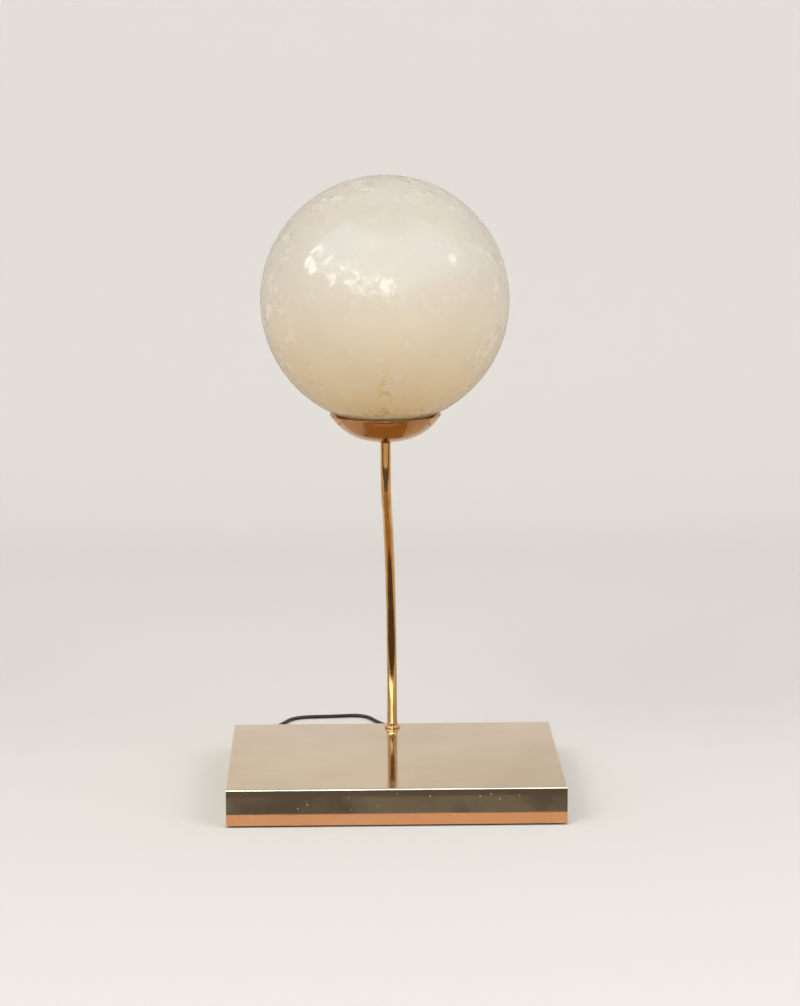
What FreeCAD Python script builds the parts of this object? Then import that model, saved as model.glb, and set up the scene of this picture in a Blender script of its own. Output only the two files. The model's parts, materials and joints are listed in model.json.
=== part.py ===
import FreeCAD, Part
import math
import os

from FreeCAD import Placement, Rotation, Vector

# Table lamp with a glass globe on a swan-neck brass stem and a polished box base.
# Millimetres. +Z is up and the front of the lamp faces -Y.
# The origin is on the table, under the middle of the base.

# Base box, folded from sheet and open below
base_width = 342.0
base_depth = 266.0
base_height = 37.5
base_lift = 2.0
base_wall = 1.2
base_corner_radius = 6.0
base_edge_radius = 2.0

# Bottom cover, its feet, lugs and screws
cover_thickness = 1.0
cover_gap = 0.5
foot_height = 3.0
foot_radius = 9.0
foot_chamfer = 0.8
foot_inset = 26.0
lug_length = 16.0
lug_sheet = 1.5
lug_rise = 16.0
lug_inset = 34.0
cover_screw_radius = 1.7
cover_screw_length = 7.0
screw_head_height = 1.6
screw_head_radius = 3.3

# Steel slab that keeps the lamp from tipping
ballast_width = 210.0
ballast_depth = 140.0
ballast_thickness = 10.0
ballast_corner_radius = 4.0
ballast_offset = -20.0
ballast_screw_radius = 2.5
ballast_screw_spacing = 120.0
ballast_screw_head_radius = 4.6

# Stem tube: straight foot, long bend forward, short bend back up, straight top
stem_radius = 5.25
stem_wall = 1.0
stem_thread_radius = 5.0
stem_back_inset = 17.5
stem_foot_straight = 20.0
stem_lower_bend = 295.0
stem_upper_bend = 58.0
stem_lean = 56.0
stem_rise = 337.7
stem_turn = -3.0
stem_tail = 13.5

# Turned brass collar on the base and ring under the cup
collar_flange_radius = 8.25
collar_flange_height = 2.2
collar_neck_radius = 6.1
collar_neck_height = 3.0
collar_round = 0.9
collar_slope = 0.2
collar_chamfer = 0.5
head_ring_radius = 5.9
head_ring_height = 2.4
head_ring_chamfer = 0.5

# Nuts and washers on the M10 stem ends
nut_flats = 14.0
nut_height = 4.0
stem_washer_radius = 12.0
stem_washer_thickness = 1.5
lock_washer_radius = 8.5
lock_washer_thickness = 0.8
lock_washer_teeth = 10
lock_notch_depth = 1.6
lock_notch_width = 1.2
cup_washer_radius = 9.0
cup_washer_thickness = 1.4

# Spun brass cup that carries the globe
cup_rim_radius = 56.5
cup_flat_radius = 9.5
cup_arc_radius = 54.5
cup_wall = 1.0

# Glass globe, open below in a short straight neck
globe_radius = 125.0
globe_wall = 3.0
globe_neck_radius = 42.0
globe_neck_fillet = 3.0
globe_above_rim = 115.1
gasket_inner_radius = 37.5
gasket_outer_radius = 43.5
gasket_above_arc = 0.6

# Three grub screws that hold the neck, in bushes soldered inside the cup
gallery_screw_count = 3
gallery_screw_radius = 1.5
gallery_screw_drop = 5.9
gallery_screw_proud = 0.3
gallery_screw_slot = 0.6
gallery_slot_depth = 0.9
gallery_screw_chamfer = 0.4
bush_radius = 3.5
bush_length = 5.0

# Lampholder for an E27 lamp, on top of the threaded stem end
holder_rise = 26.0
holder_boss_radius = 8.0
holder_boss_height = 8.0
holder_cap_radius = 17.5
holder_cap_height = 17.0
holder_dome_height = 11.0
holder_shoulder = 2.0
holder_dome_round = 2.6
holder_wall = 0.8
insert_thickness = 9.0
wire_hole_radius = 1.8
wire_hole_spacing = 18.0
shell_radius = 19.0
shell_height = 42.0
shell_lip = 2.2
shell_lip_depth = 1.0
shell_chamfer = 1.5
shell_overlap = 5.0
shell_step = 6.0
contact_width = 4.4
contact_sheet = 0.5
contact_spring = 1.8
contact_seat_depth = 1.2
contact_seat_width = 5.0
contact_reach = 11.6
contact_bend = 4.1
contact_pad_length = 6.4
screw_shell_radius = 14.0
screw_shell_wall = 0.6
screw_shell_height = 29.0

# Lamp
bulb_cap_radius = 13.1
bulb_cap_height = 26.0
bulb_cap_wall = 0.5
bulb_ring_pitch = 3.6
bulb_ring_depth = 0.7
bulb_tip_height = 2.6
bulb_tip_radius = 4.5
bulb_tip_rise = 0.9
bulb_cone_foot = 6.5
bulb_cone_top = 11.0
bulb_cap_plain = 1.5
bulb_radius = 30.0
bulb_length = 105.0
bulb_glass_wall = 0.8
bulb_neck_radius = 12.3

# Wiring held by the lamp
inner_cable_radius = 1.6
terminal_length = 30.0
terminal_width = 16.0
terminal_height = 12.0
terminal_groove_width = 3.0
terminal_groove_depth = 4.0
terminal_x = 46.0
terminal_inset = 25.0
feed_lead = 12.0
feed_bend = 12.0
terminal_screw_radius = 1.8
terminal_screw_length = 4.0
terminal_screw_seat = 7.0
terminal_screw_share = 0.22
terminal_slot_width = 0.6
terminal_slot_depth = 0.8

# Cord gland in the back wall, with its tapered sleeve
cord_diameter = 4.0
gland_x = 100.0
gland_hole_radius = 4.5
gland_flange_radius = 7.0
gland_flange_thickness = 2.0
gland_chamfer = 0.5
inner_flange_radius = 5.6
sleeve_length = 22.0
sleeve_root_radius = 4.4
sleeve_tip_radius = 2.9
cord_bend_inside = 20.0
bend_share = 0.45
table_gap = 0.2

# Running clearances
thread_gap = 0.05
fit_gap = 0.1
loose_gap = 0.3
pin_play = 0.01

# Switch on the cord
switch_length = 50.0
switch_width = 22.0
switch_height = 14.0
switch_end_radius = 8.0
switch_wall = 1.6
switch_lower_round = 1.5
switch_upper_round = 2.5
switch_post_radius = 3.2
switch_screw_inset = 8.0
switch_screw_radius = 1.0
switch_screw_length = 7.5
switch_screw_head_radius = 2.3
switch_screw_head_height = 1.5
switch_screw_recess = 0.9
switch_slot_width = 0.6
switch_slot_depth = 0.7
switch_turn = 10.0
switch_y = 182.0
switch_x = 99.0
rocker_length = 15.0
rocker_width = 8.4
rocker_slot_gap = 0.8
rocker_pivot_height = 10.0
rocker_tilt = 8.0
rocker_crown = 1.4
rocker_proud = 0.9
rocker_below_pivot = 2.0
rocker_chamfer = 2.5
pin_radius = 0.75
rib_thickness = 1.4
rib_length = 8.0
strip_sheet = 0.8
strip_width = 6.0
strip_rise = 4.0
strip_reach = 4.0
strip_offset = 7.0

# Flat two-pin plug
plug_length = 36.0
plug_width = 34.0
plug_height = 13.6
plug_shoulder = 15.0
plug_entry_width = 17.6
plug_front_width = 32.0
plug_edge_round = 3.0
plug_face_round = 2.0
plug_sleeve_length = 16.0
plug_sleeve_radius = 4.2
plug_sleeve_tip_radius = 2.9
plug_pin_radius = 2.0
plug_pin_length = 19.0
plug_pin_spacing = 18.6
plug_pin_depth = 8.0
plug_pin_round = 1.0
plug_x = -58.0
plug_lead = 11.0
switch_lead = 9.0

# Cord put away in a coil behind the base
coil_x = -120.0
coil_y = 186.0
coil_outer_radius = 27.0
coil_pitch = 4.95
coil_layer = 4.95
coil_lift = 1.0
tie_thickness = 0.7
tie_width = 7.0
tie_gap = 0.25

cord_radius = cord_diameter / 2
base_top = base_lift + base_height
inner_half_width = base_width / 2 - base_wall
inner_half_depth = base_depth / 2 - base_wall
cover_top = foot_height + cover_thickness
stem_y = base_depth / 2 - stem_back_inset
cup_bottom = base_top + stem_rise
lean = math.radians(stem_lean)
stem_reach = (stem_lower_bend + stem_upper_bend) * (1 - math.cos(lean))
stem_bore = stem_radius - stem_wall
stem_bottom = base_top - base_wall - stem_tail
cup_span = cup_rim_radius - cup_flat_radius
cup_depth = cup_arc_radius - math.sqrt(cup_arc_radius ** 2 - cup_span ** 2)
cup_rim = cup_bottom + cup_depth
globe_z = cup_rim + globe_above_rim
holder_bottom = cup_bottom + holder_rise
stem_top = holder_bottom + holder_boss_height
collar_height = collar_flange_height + collar_neck_height
coil_z = coil_lift + cord_radius
wire_height = cover_top + inner_flange_radius + table_gap
cord_rest = table_gap + cord_radius
switch_seam = switch_height / 2
switch_cord_height = table_gap + switch_seam
plug_axis = table_gap + plug_height / 2


def export(shape, name):
    shape.exportStep("parts/" + name + ".step")
    box = shape.BoundBox
    print(name, len(shape.Solids), "solid, volume %.0f" % shape.Volume, shape.isValid(),
          "z %.1f to %.1f" % (box.ZMin, box.ZMax))


def lift_axis(x, y, z):
    return Placement(Vector(x, y, z), Rotation())


def ring(inner, outer, z0, z1):
    body = Part.makeCylinder(outer, z1 - z0, Vector(0, 0, z0))
    return body.cut(Part.makeCylinder(inner, z1 - z0 + 2, Vector(0, 0, z0 - 1)))


def plate(width, depth, z0, z1, radius):
    body = Part.makeBox(width, depth, z1 - z0, Vector(-width / 2, -depth / 2, z0))
    upright = [e for e in body.Edges if abs(e.Vertexes[0].Z - e.Vertexes[1].Z) > 0.1]
    return body.makeFillet(radius, upright)


def hexagon(flats, bore, z0, z1):
    corner = flats / math.sqrt(3)
    points = [Vector(corner * math.cos(math.radians(60 * i)), corner * math.sin(math.radians(60 * i)), z0)
              for i in range(7)]
    body = Part.Face(Part.makePolygon(points)).extrude(Vector(0, 0, z1 - z0))
    below = 0.16 * corner
    rim = Part.makeCone(1.1 * corner + z1 - z0, 0.94 * corner, z1 - z0 + below, Vector(0, 0, z0 - below))
    body = body.common(rim)
    return body.cut(Part.makeCylinder(bore, z1 - z0 + 2, Vector(0, 0, z0 - 1)))


def turned(edges):
    face = Part.Face(Part.Wire(edges))
    return face.revolve(Vector(0, 0, 0), Vector(0, 0, 1), 360)


def line(a, b):
    return Part.LineSegment(Vector(a[0], 0, a[1]), Vector(b[0], 0, b[1])).toShape()


def arc(a, middle, b):
    return Part.Arc(Vector(a[0], 0, a[1]), Vector(middle[0], 0, middle[1]), Vector(b[0], 0, b[1])).toShape()


def outline(points):
    return [line(points[i], points[(i + 1) % len(points)]) for i in range(len(points))]


def on_stem_foot(shape):
    shape.Placement = lift_axis(0, stem_y, 0).multiply(shape.Placement)
    return shape


def on_turned_stem(shape):
    turn = Placement(Vector(0, stem_y, 0), Rotation(Vector(0, 0, 1), stem_turn))
    shape.Placement = turn.multiply(shape.Placement)
    return shape


def on_stem_head(shape):
    shape.Placement = lift_axis(0, -stem_reach, 0).multiply(shape.Placement)
    return on_turned_stem(shape)


def fused(shapes):
    body = shapes[0]
    for shape in shapes[1:]:
        body = body.fuse(shape)
    return body.removeSplitter()


# Base


def base_shell():
    body = plate(base_width, base_depth, base_lift, base_top, base_corner_radius)
    top = [e for e in body.Edges if min(v.Z for v in e.Vertexes) > base_top - 0.01]
    body = body.makeFillet(base_edge_radius, top)
    hollow = plate(2 * inner_half_width, 2 * inner_half_depth, base_lift - 1, base_top - base_wall,
                   base_corner_radius - base_wall)
    body = body.cut(hollow)
    hole = Part.makeCylinder(stem_thread_radius + fit_gap, 4 * base_wall,
                             Vector(0, stem_y, base_top - 2 * base_wall))
    body = body.cut(hole)
    outlet = Part.makeCylinder(gland_hole_radius, 4 * base_wall,
                               Vector(gland_x, base_depth / 2 - 3 * base_wall, wire_height), Vector(0, 1, 0))
    return body.cut(outlet)


def foot_places():
    x = base_width / 2 - foot_inset
    y = base_depth / 2 - foot_inset
    return [(0, 0)] + [(sx * x, sy * y) for sx in (-1, 1) for sy in (-1, 1)]


def lug_places():
    x = inner_half_width - lug_length / 2
    y = base_depth / 2 - lug_inset - lug_length
    return [(sx * x, sy * y, sx) for sx in (-1, 1) for sy in (-1, 1)]


def ballast_screw_places():
    return [(s * ballast_screw_spacing / 2, ballast_offset) for s in (-1, 1)]


def base_cover():
    body = plate(2 * (inner_half_width - cover_gap), 2 * (inner_half_depth - cover_gap), foot_height, cover_top,
                 base_corner_radius - base_wall - cover_gap)
    for x, y, side in lug_places():
        body = body.cut(Part.makeCylinder(cover_screw_radius + fit_gap, 9, Vector(x, y, 0)))
    for x, y in ballast_screw_places():
        body = body.cut(Part.makeCylinder(ballast_screw_radius + fit_gap, 9, Vector(x, y, 0)))
    return body


def base_feet():
    """A pad at each corner and one in the middle, where the weight is."""
    feet = []
    for x, y in foot_places():
        foot = Part.makeCylinder(foot_radius, foot_height, Vector(x, y, 0))
        foot = foot.makeChamfer(foot_chamfer, [e for e in foot.Edges if e.BoundBox.ZMax < 0.01])
        feet.append(foot)
    return Part.makeCompound(feet)


def cover_lugs():
    lugs = []
    for x, y, side in lug_places():
        flat = Part.makeBox(lug_length, lug_length, lug_sheet,
                            Vector(x - lug_length / 2, y - lug_length / 2, cover_top))
        wall_x = side * inner_half_width
        upright = Part.makeBox(lug_sheet, lug_length, lug_rise,
                               Vector(min(wall_x, wall_x - side * lug_sheet), y - lug_length / 2, cover_top))
        lug = flat.fuse(upright).removeSplitter()
        lug = lug.cut(Part.makeCylinder(cover_screw_radius + thread_gap, 9, Vector(x, y, cover_top - 1)))
        lugs.append(lug)
    return Part.makeCompound(lugs)


def pan_screw(x, y, radius, length, head_radius, seat):
    head = Part.makeCylinder(head_radius, screw_head_height, Vector(x, y, seat - screw_head_height))
    head = head.makeFillet(0.4 * screw_head_height, [e for e in head.Edges if e.BoundBox.ZMax < seat - 1])
    body = head.fuse(Part.makeCylinder(radius, length, Vector(x, y, seat))).removeSplitter()
    slot_depth = 0.45 * screw_head_height
    for long, wide in ((head_radius, 0.3 * head_radius), (0.3 * head_radius, head_radius)):
        slot = Part.makeBox(long, wide, slot_depth,
                            Vector(x - long / 2, y - wide / 2, seat - screw_head_height))
        body = body.cut(slot)
    return body


def cover_screws():
    return Part.makeCompound([
        pan_screw(x, y, cover_screw_radius, cover_screw_length, screw_head_radius, foot_height)
        for x, y, side in lug_places()])


def ballast_plate():
    body = plate(ballast_width, ballast_depth, cover_top, cover_top + ballast_thickness, ballast_corner_radius)
    body.translate(Vector(0, ballast_offset, 0))
    for x, y in ballast_screw_places():
        body = body.cut(Part.makeCylinder(ballast_screw_radius + thread_gap, ballast_thickness + 2,
                                          Vector(x, y, cover_top - 1)))
    return body


def ballast_screws():
    length = cover_thickness + 0.8 * ballast_thickness
    return Part.makeCompound([
        pan_screw(x, y, ballast_screw_radius, length, ballast_screw_head_radius, foot_height)
        for x, y in ballast_screw_places()])


# Stem


def stem_path(bottom, top):
    """Middle line of the stem between two heights: straight, long bend, short bend, straight."""
    bend = stem_foot_straight + stem_lower_bend * math.sin(lean)
    reach = stem_lower_bend * (1 - math.cos(lean))
    z0 = base_top + stem_foot_straight
    turn_y = -reach
    turn_z = base_top + bend
    half = lean / 2
    mid_low = Vector(0, -stem_lower_bend * (1 - math.cos(half)), z0 + stem_lower_bend * math.sin(half))
    end_z = turn_z + stem_upper_bend * math.sin(lean)
    mid_high = Vector(0, -stem_reach + stem_upper_bend * (1 - math.cos(half)),
                      end_z - stem_upper_bend * math.sin(half))
    start = Vector(0, 0, bottom)
    bend_start = Vector(0, 0, z0)
    middle = Vector(0, turn_y, turn_z)
    bend_end = Vector(0, -stem_reach, end_z)
    end = Vector(0, -stem_reach, top)
    edges = [Part.LineSegment(start, bend_start).toShape(), Part.Arc(bend_start, mid_low, middle).toShape(),
             Part.Arc(middle, mid_high, bend_end).toShape(), Part.LineSegment(bend_end, end).toShape()]
    return [on_turned_stem(e) for e in edges]


def swept(edges, radius):
    path = Part.Wire(edges)
    first = edges[0]
    start = first.valueAt(first.FirstParameter)
    heading = first.tangentAt(first.FirstParameter)
    section = Part.Wire(Part.Circle(start, heading, radius).toShape())
    return path.makePipeShell([section], True, False)


def stem_tube():
    path = stem_path(stem_bottom, stem_top)
    body = swept(path, stem_radius)
    thread_top = base_top + collar_height
    foot = on_stem_foot(ring(stem_thread_radius, 3 * stem_radius, stem_bottom - 1, thread_top))
    head = on_stem_head(ring(stem_thread_radius, 3 * stem_radius, cup_bottom - head_ring_height, stem_top + 1))
    return body.cut(foot).cut(head).cut(swept(path, stem_bore))


def stem_collar():
    bore = stem_thread_radius + thread_gap
    z1 = base_top + collar_flange_height
    z2 = base_top + collar_height
    edge = collar_flange_radius - collar_round
    sweep = collar_round * (1 - math.sqrt(0.5))
    body = turned([
        line((bore, base_top), (collar_flange_radius, base_top)),
        line((collar_flange_radius, base_top), (collar_flange_radius, z1 - collar_round)),
        arc((collar_flange_radius, z1 - collar_round), (collar_flange_radius - sweep, z1 - sweep), (edge, z1)),
        line((edge, z1), (collar_neck_radius, z1 + collar_slope)),
        line((collar_neck_radius, z1 + collar_slope), (collar_neck_radius, z2 - collar_chamfer)),
        line((collar_neck_radius, z2 - collar_chamfer), (collar_neck_radius - collar_chamfer, z2)),
        line((collar_neck_radius - collar_chamfer, z2), (bore, z2)),
        line((bore, z2), (bore, base_top))])
    return on_stem_foot(body)


def stem_head_ring():
    z0 = cup_bottom - head_ring_height
    bore = stem_thread_radius + thread_gap
    inset = head_ring_radius - head_ring_chamfer
    body = turned(outline([(bore, z0), (inset, z0), (head_ring_radius, z0 + head_ring_chamfer),
                           (head_ring_radius, cup_bottom - head_ring_chamfer), (inset, cup_bottom),
                           (bore, cup_bottom)]))
    return on_stem_head(body)


def stem_washer():
    top = base_top - base_wall
    bore = stem_thread_radius + thread_gap
    return on_stem_foot(ring(bore, stem_washer_radius, top - stem_washer_thickness, top))


def stem_lock_washer():
    top = base_top - base_wall - stem_washer_thickness
    body = ring(stem_thread_radius + thread_gap, lock_washer_radius, top - lock_washer_thickness, top)
    for i in range(lock_washer_teeth):
        notch = Part.makeBox(lock_notch_depth + 1, lock_notch_width, lock_washer_thickness + 2,
                             Vector(lock_washer_radius - lock_notch_depth, -lock_notch_width / 2,
                                    top - lock_washer_thickness - 1))
        notch.rotate(Vector(0, 0, 0), Vector(0, 0, 1), 360 / lock_washer_teeth * i)
        body = body.cut(notch)
    return on_stem_foot(body)


def stem_nut():
    top = base_top - base_wall - stem_washer_thickness - lock_washer_thickness
    return on_stem_foot(hexagon(nut_flats, stem_thread_radius + thread_gap, top - nut_height, top))


# Cup and globe


def cup_solid(shrink):
    """The round body inside the cup's outer face, drawn in by shrink."""
    radius = cup_arc_radius - shrink
    centre_z = cup_bottom + cup_arc_radius
    rim_x = cup_flat_radius + math.sqrt(radius ** 2 - (centre_z - cup_rim) ** 2)
    end = math.asin((rim_x - cup_flat_radius) / radius)
    mid = (cup_flat_radius + radius * math.sin(end / 2), centre_z - radius * math.cos(end / 2))
    floor = cup_bottom + shrink
    return turned([
        line((0, floor), (cup_flat_radius, floor)), arc((cup_flat_radius, floor), mid, (rim_x, cup_rim)),
        line((rim_x, cup_rim), (0, cup_rim)), line((0, cup_rim), (0, floor))])


def screw_height():
    return cup_rim - gallery_screw_drop


def cup_radius_at(z, shrink):
    radius = cup_arc_radius - shrink
    return cup_flat_radius + math.sqrt(radius ** 2 - (cup_bottom + cup_arc_radius - z) ** 2)


def screw_angle(index):
    return 90 + 360 / gallery_screw_count * index


def radial_rod(radius, inner, outer):
    return Part.makeCylinder(radius, outer - inner, Vector(inner, 0, screw_height()), Vector(1, 0, 0))


def turned_to(shape, angle):
    shape.rotate(Vector(0, 0, 0), Vector(0, 0, 1), angle)
    return shape


def gallery_cup():
    body = cup_solid(0).cut(cup_solid(cup_wall))
    body = body.cut(Part.makeCylinder(stem_thread_radius + fit_gap, 6, Vector(0, 0, cup_bottom - 2)))
    for i in range(gallery_screw_count):
        hole = radial_rod(gallery_screw_radius + thread_gap, globe_neck_radius, cup_rim_radius + 5)
        body = body.cut(turned_to(hole, screw_angle(i)))
    return on_stem_head(body)


def gallery_washer():
    z0 = cup_bottom + cup_wall
    return on_stem_head(ring(stem_thread_radius + thread_gap, cup_washer_radius, z0, z0 + cup_washer_thickness))


def gallery_nut():
    z0 = cup_bottom + cup_wall + cup_washer_thickness
    return on_stem_head(hexagon(nut_flats, stem_thread_radius + thread_gap, z0, z0 + nut_height))


def gallery_bushes():
    inner = cup_radius_at(screw_height(), cup_wall) - bush_length
    bushes = []
    for i in range(gallery_screw_count):
        bush = radial_rod(bush_radius, inner, cup_rim_radius).common(cup_solid(cup_wall))
        bush = bush.cut(radial_rod(gallery_screw_radius + thread_gap, inner - 1, cup_rim_radius))
        bushes.append(turned_to(bush, screw_angle(i)))
    return on_stem_head(Part.makeCompound(bushes))


def gallery_screw(index):
    inner = globe_neck_radius + loose_gap
    outer = cup_radius_at(screw_height(), 0) + gallery_screw_proud
    body = radial_rod(gallery_screw_radius, inner, outer)
    body = body.makeChamfer(gallery_screw_chamfer, [e for e in body.Edges if e.BoundBox.XMax < inner + 0.01])
    slot = Part.makeBox(gallery_slot_depth + 1, 4 * gallery_screw_radius, gallery_screw_slot,
                        Vector(outer - gallery_slot_depth, -2 * gallery_screw_radius,
                               screw_height() - gallery_screw_slot / 2))
    body = body.cut(slot)
    return on_stem_head(turned_to(body, screw_angle(index)))


def gasket_top():
    return cup_bottom + cup_arc_radius - math.sqrt((cup_arc_radius - cup_wall) ** 2 - (
        gasket_outer_radius - cup_flat_radius) ** 2) + gasket_above_arc


def globe_gasket():
    top = gasket_top()
    blank = ring(gasket_inner_radius, gasket_outer_radius, cup_bottom, top)
    return on_stem_head(blank.common(cup_solid(cup_wall)))


def globe_profile(radius, neck, bottom):
    join = globe_z - math.sqrt(radius ** 2 - neck ** 2)
    return turned([line((0, bottom), (neck, bottom)), line((neck, bottom), (neck, join)),
                   arc((neck, join), (radius, globe_z), (0, globe_z + radius)),
                   line((0, globe_z + radius), (0, bottom))])


def glass_globe():
    bottom = gasket_top()
    outer = globe_profile(globe_radius, globe_neck_radius, bottom)
    inner = globe_profile(globe_radius - globe_wall, globe_neck_radius - globe_wall, bottom - 5)
    body = outer.cut(inner)
    corner = [e for e in body.Edges if e.Closed and abs(e.BoundBox.ZMax - e.BoundBox.ZMin) < 0.01
              and abs(e.BoundBox.XMax - globe_neck_radius) < 0.01 and e.BoundBox.ZMin > bottom + 1]
    body = body.makeFillet(globe_neck_fillet, corner)
    return on_stem_head(body)


# Lampholder and lamp


def holder_cap():
    boss_top = holder_bottom + holder_boss_height
    top = holder_bottom + holder_cap_height
    bore = stem_thread_radius + thread_gap
    wall = holder_wall
    shoulder = holder_bottom + holder_shoulder
    inner_round = holder_dome_round + 0.75 * wall
    body = turned([
        line((bore, holder_bottom), (holder_boss_radius, holder_bottom)),
        line((holder_boss_radius, holder_bottom), (holder_boss_radius, shoulder)),
        arc((holder_boss_radius, shoulder),
            (holder_cap_radius - holder_dome_round, shoulder + holder_dome_round),
            (holder_cap_radius, holder_bottom + holder_dome_height)),
        line((holder_cap_radius, holder_bottom + holder_dome_height), (holder_cap_radius, top)),
        line((holder_cap_radius, top), (holder_cap_radius - wall, top)),
        line((holder_cap_radius - wall, top), (holder_cap_radius - wall, holder_bottom + holder_dome_height)),
        arc((holder_cap_radius - wall, holder_bottom + holder_dome_height),
            (holder_cap_radius - inner_round, shoulder + inner_round), (holder_boss_radius, shoulder + wall)),
        line((holder_boss_radius, shoulder + wall), (holder_boss_radius, boss_top)),
        line((holder_boss_radius, boss_top), (bore, boss_top)),
        line((bore, boss_top), (bore, holder_bottom))])
    return on_stem_head(body)


def insert_bottom():
    return holder_bottom + holder_dome_height + fit_gap


def holder_insert():
    z0 = insert_bottom()
    z1 = z0 + insert_thickness
    body = Part.makeCylinder(holder_cap_radius - holder_wall - thread_gap, z1 - z0, Vector(0, 0, z0))
    for x in (-wire_hole_spacing / 2, wire_hole_spacing / 2):
        body = body.cut(Part.makeCylinder(wire_hole_radius, insert_thickness + 2, Vector(x, 0, z0 - 1)))
    seat_length = contact_reach - contact_bend + contact_sheet + 2 * fit_gap
    seat = Part.makeBox(contact_seat_width, seat_length, contact_seat_depth + 1,
                        Vector(-contact_seat_width / 2, -contact_reach - fit_gap, z1 - contact_seat_depth))
    return on_stem_head(body.cut(seat))


def holder_shell():
    z0 = holder_bottom + holder_cap_height - shell_overlap
    z1 = z0 + shell_height
    inner = shell_radius - holder_wall
    joint = holder_cap_radius + thread_gap
    mouth = shell_radius - shell_lip
    body = turned(outline([
        (joint, z0), (shell_radius, z0), (shell_radius, z1 - shell_chamfer), (shell_radius - shell_chamfer, z1),
        (mouth, z1), (mouth, z1 - shell_lip_depth), (inner, z1 - shell_lip_depth - inner + mouth),
        (inner, z0 + shell_step), (joint, z0 + shell_step)]))
    return on_stem_head(body)


def holder_screw_shell():
    z0 = insert_bottom() + insert_thickness
    body = ring(screw_shell_radius - screw_shell_wall, screw_shell_radius, z0, z0 + screw_shell_height)
    flange = ring(screw_shell_radius - screw_shell_wall, shell_radius - holder_wall - loose_gap,
                  z0 + screw_shell_height - 1, z0 + screw_shell_height)
    return on_stem_head(body.fuse(flange).removeSplitter())


def holder_contact():
    """Bent spring strip: foot in the insert's seat, upright tongue, pad under the lamp's tip."""
    z0 = insert_bottom() + insert_thickness - contact_seat_depth
    x0 = -contact_width / 2
    foot = Part.makeBox(contact_width, contact_reach - contact_bend + contact_sheet, contact_sheet,
                        Vector(x0, -contact_reach, z0))
    tongue = Part.makeBox(contact_width, contact_sheet, contact_spring, Vector(x0, -contact_bend, z0))
    pad = Part.makeBox(contact_width, contact_pad_length, contact_sheet,
                       Vector(x0, -contact_bend, z0 + contact_spring))
    return on_stem_head(fused([foot, tongue, pad]))


def bulb_bottom():
    return insert_bottom() + insert_thickness - contact_seat_depth + contact_spring + contact_sheet + loose_gap


def bulb_contact():
    z0 = bulb_bottom()
    tip = Part.makeCylinder(bulb_tip_radius, bulb_tip_rise, Vector(0, 0, z0))
    cone = Part.makeCone(bulb_cone_foot, bulb_cone_top, bulb_tip_height - bulb_tip_rise,
                         Vector(0, 0, z0 + bulb_tip_rise))
    return on_stem_head(tip.fuse(cone).removeSplitter())


def bulb_cap():
    z0 = bulb_bottom() + bulb_tip_height
    z1 = z0 + bulb_cap_height
    waist = bulb_cap_radius - bulb_ring_depth
    edges = []
    z = z0 + bulb_cap_plain
    start = (waist, z)
    edges.append(line((waist - bulb_cap_wall, z0), (waist, z0)))
    edges.append(line((waist, z0), start))
    while z + bulb_ring_pitch < z1 - bulb_cap_plain:
        top = (waist, z + bulb_ring_pitch)
        edges.append(arc(start, (bulb_cap_radius, z + bulb_ring_pitch / 2), top))
        start = top
        z += bulb_ring_pitch
    edges.append(line(start, (waist, z1)))
    edges.append(line((waist, z1), (waist - bulb_cap_wall, z1)))
    edges.append(line((waist - bulb_cap_wall, z1), (waist - bulb_cap_wall, z0)))
    return on_stem_head(turned(edges))


def bulb_profile(radius, neck, seat):
    """Ball on a cone that leaves the neck and touches the ball."""
    centre = bulb_bottom() + bulb_length - bulb_radius
    away = math.hypot(neck, centre - seat)
    swing = math.asin(radius / away)
    reach = math.sqrt(away ** 2 - radius ** 2)
    out = -neck / away
    up = (centre - seat) / away
    touch = (neck + reach * (out * math.cos(swing) + up * math.sin(swing)),
             seat + reach * (up * math.cos(swing) - out * math.sin(swing)))
    half = (math.pi + math.atan2(touch[0], centre - touch[1])) / 2
    middle = (radius * math.sin(half), centre - radius * math.cos(half))
    return turned([
        line((0, seat), (neck, seat)), line((neck, seat), touch), arc(touch, middle, (0, centre + radius)),
        line((0, centre + radius), (0, seat))])


def bulb_glass():
    seat = bulb_bottom() + bulb_tip_height + bulb_cap_height
    outer = bulb_profile(bulb_radius, bulb_neck_radius, seat)
    inner = bulb_profile(bulb_radius - bulb_glass_wall, bulb_neck_radius - bulb_glass_wall, seat)
    return on_stem_head(outer.cut(inner))


# Cord paths


def bend_at(before, here, after, trim):
    """Start, middle and end of the arc that rounds a corner, trim away from it on both runs."""
    back = (before - here).normalize()
    ahead = (after - here).normalize()
    half = (math.pi - back.getAngle(ahead)) / 2
    radius = trim / math.tan(half)
    inward = (back + ahead).normalize()
    return here + back * trim, here + inward * (radius / math.cos(half) - radius), here + ahead * trim


def tangent_path(points, name):
    """Straight runs joined by arcs, each arc as large as its two runs allow."""
    corners = [Vector(*p) for p in points]
    edges = []
    last = corners[0]
    radii = []
    for before, here, after in zip(corners, corners[1:], corners[2:]):
        trim = bend_share * min((before - here).Length, (after - here).Length)
        start, middle, end = bend_at(before, here, after, trim)
        edges.append(Part.LineSegment(last, start).toShape())
        edges.append(Part.Arc(start, middle, end).toShape())
        radii.append(edges[-1].Curve.Radius)
        last = end
    edges.append(Part.LineSegment(last, corners[-1]).toShape())
    print(name, "bend radii", " ".join("%.0f" % r for r in radii))
    return edges


def cord_tube(edges, radius, name):
    body = swept(edges, radius)
    length = sum(e.Length for e in edges)
    print(name, "length %.1f" % length, "volume over section x length %.4f" % (
        body.Volume / (math.pi * radius ** 2 * length)))
    return body


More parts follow.
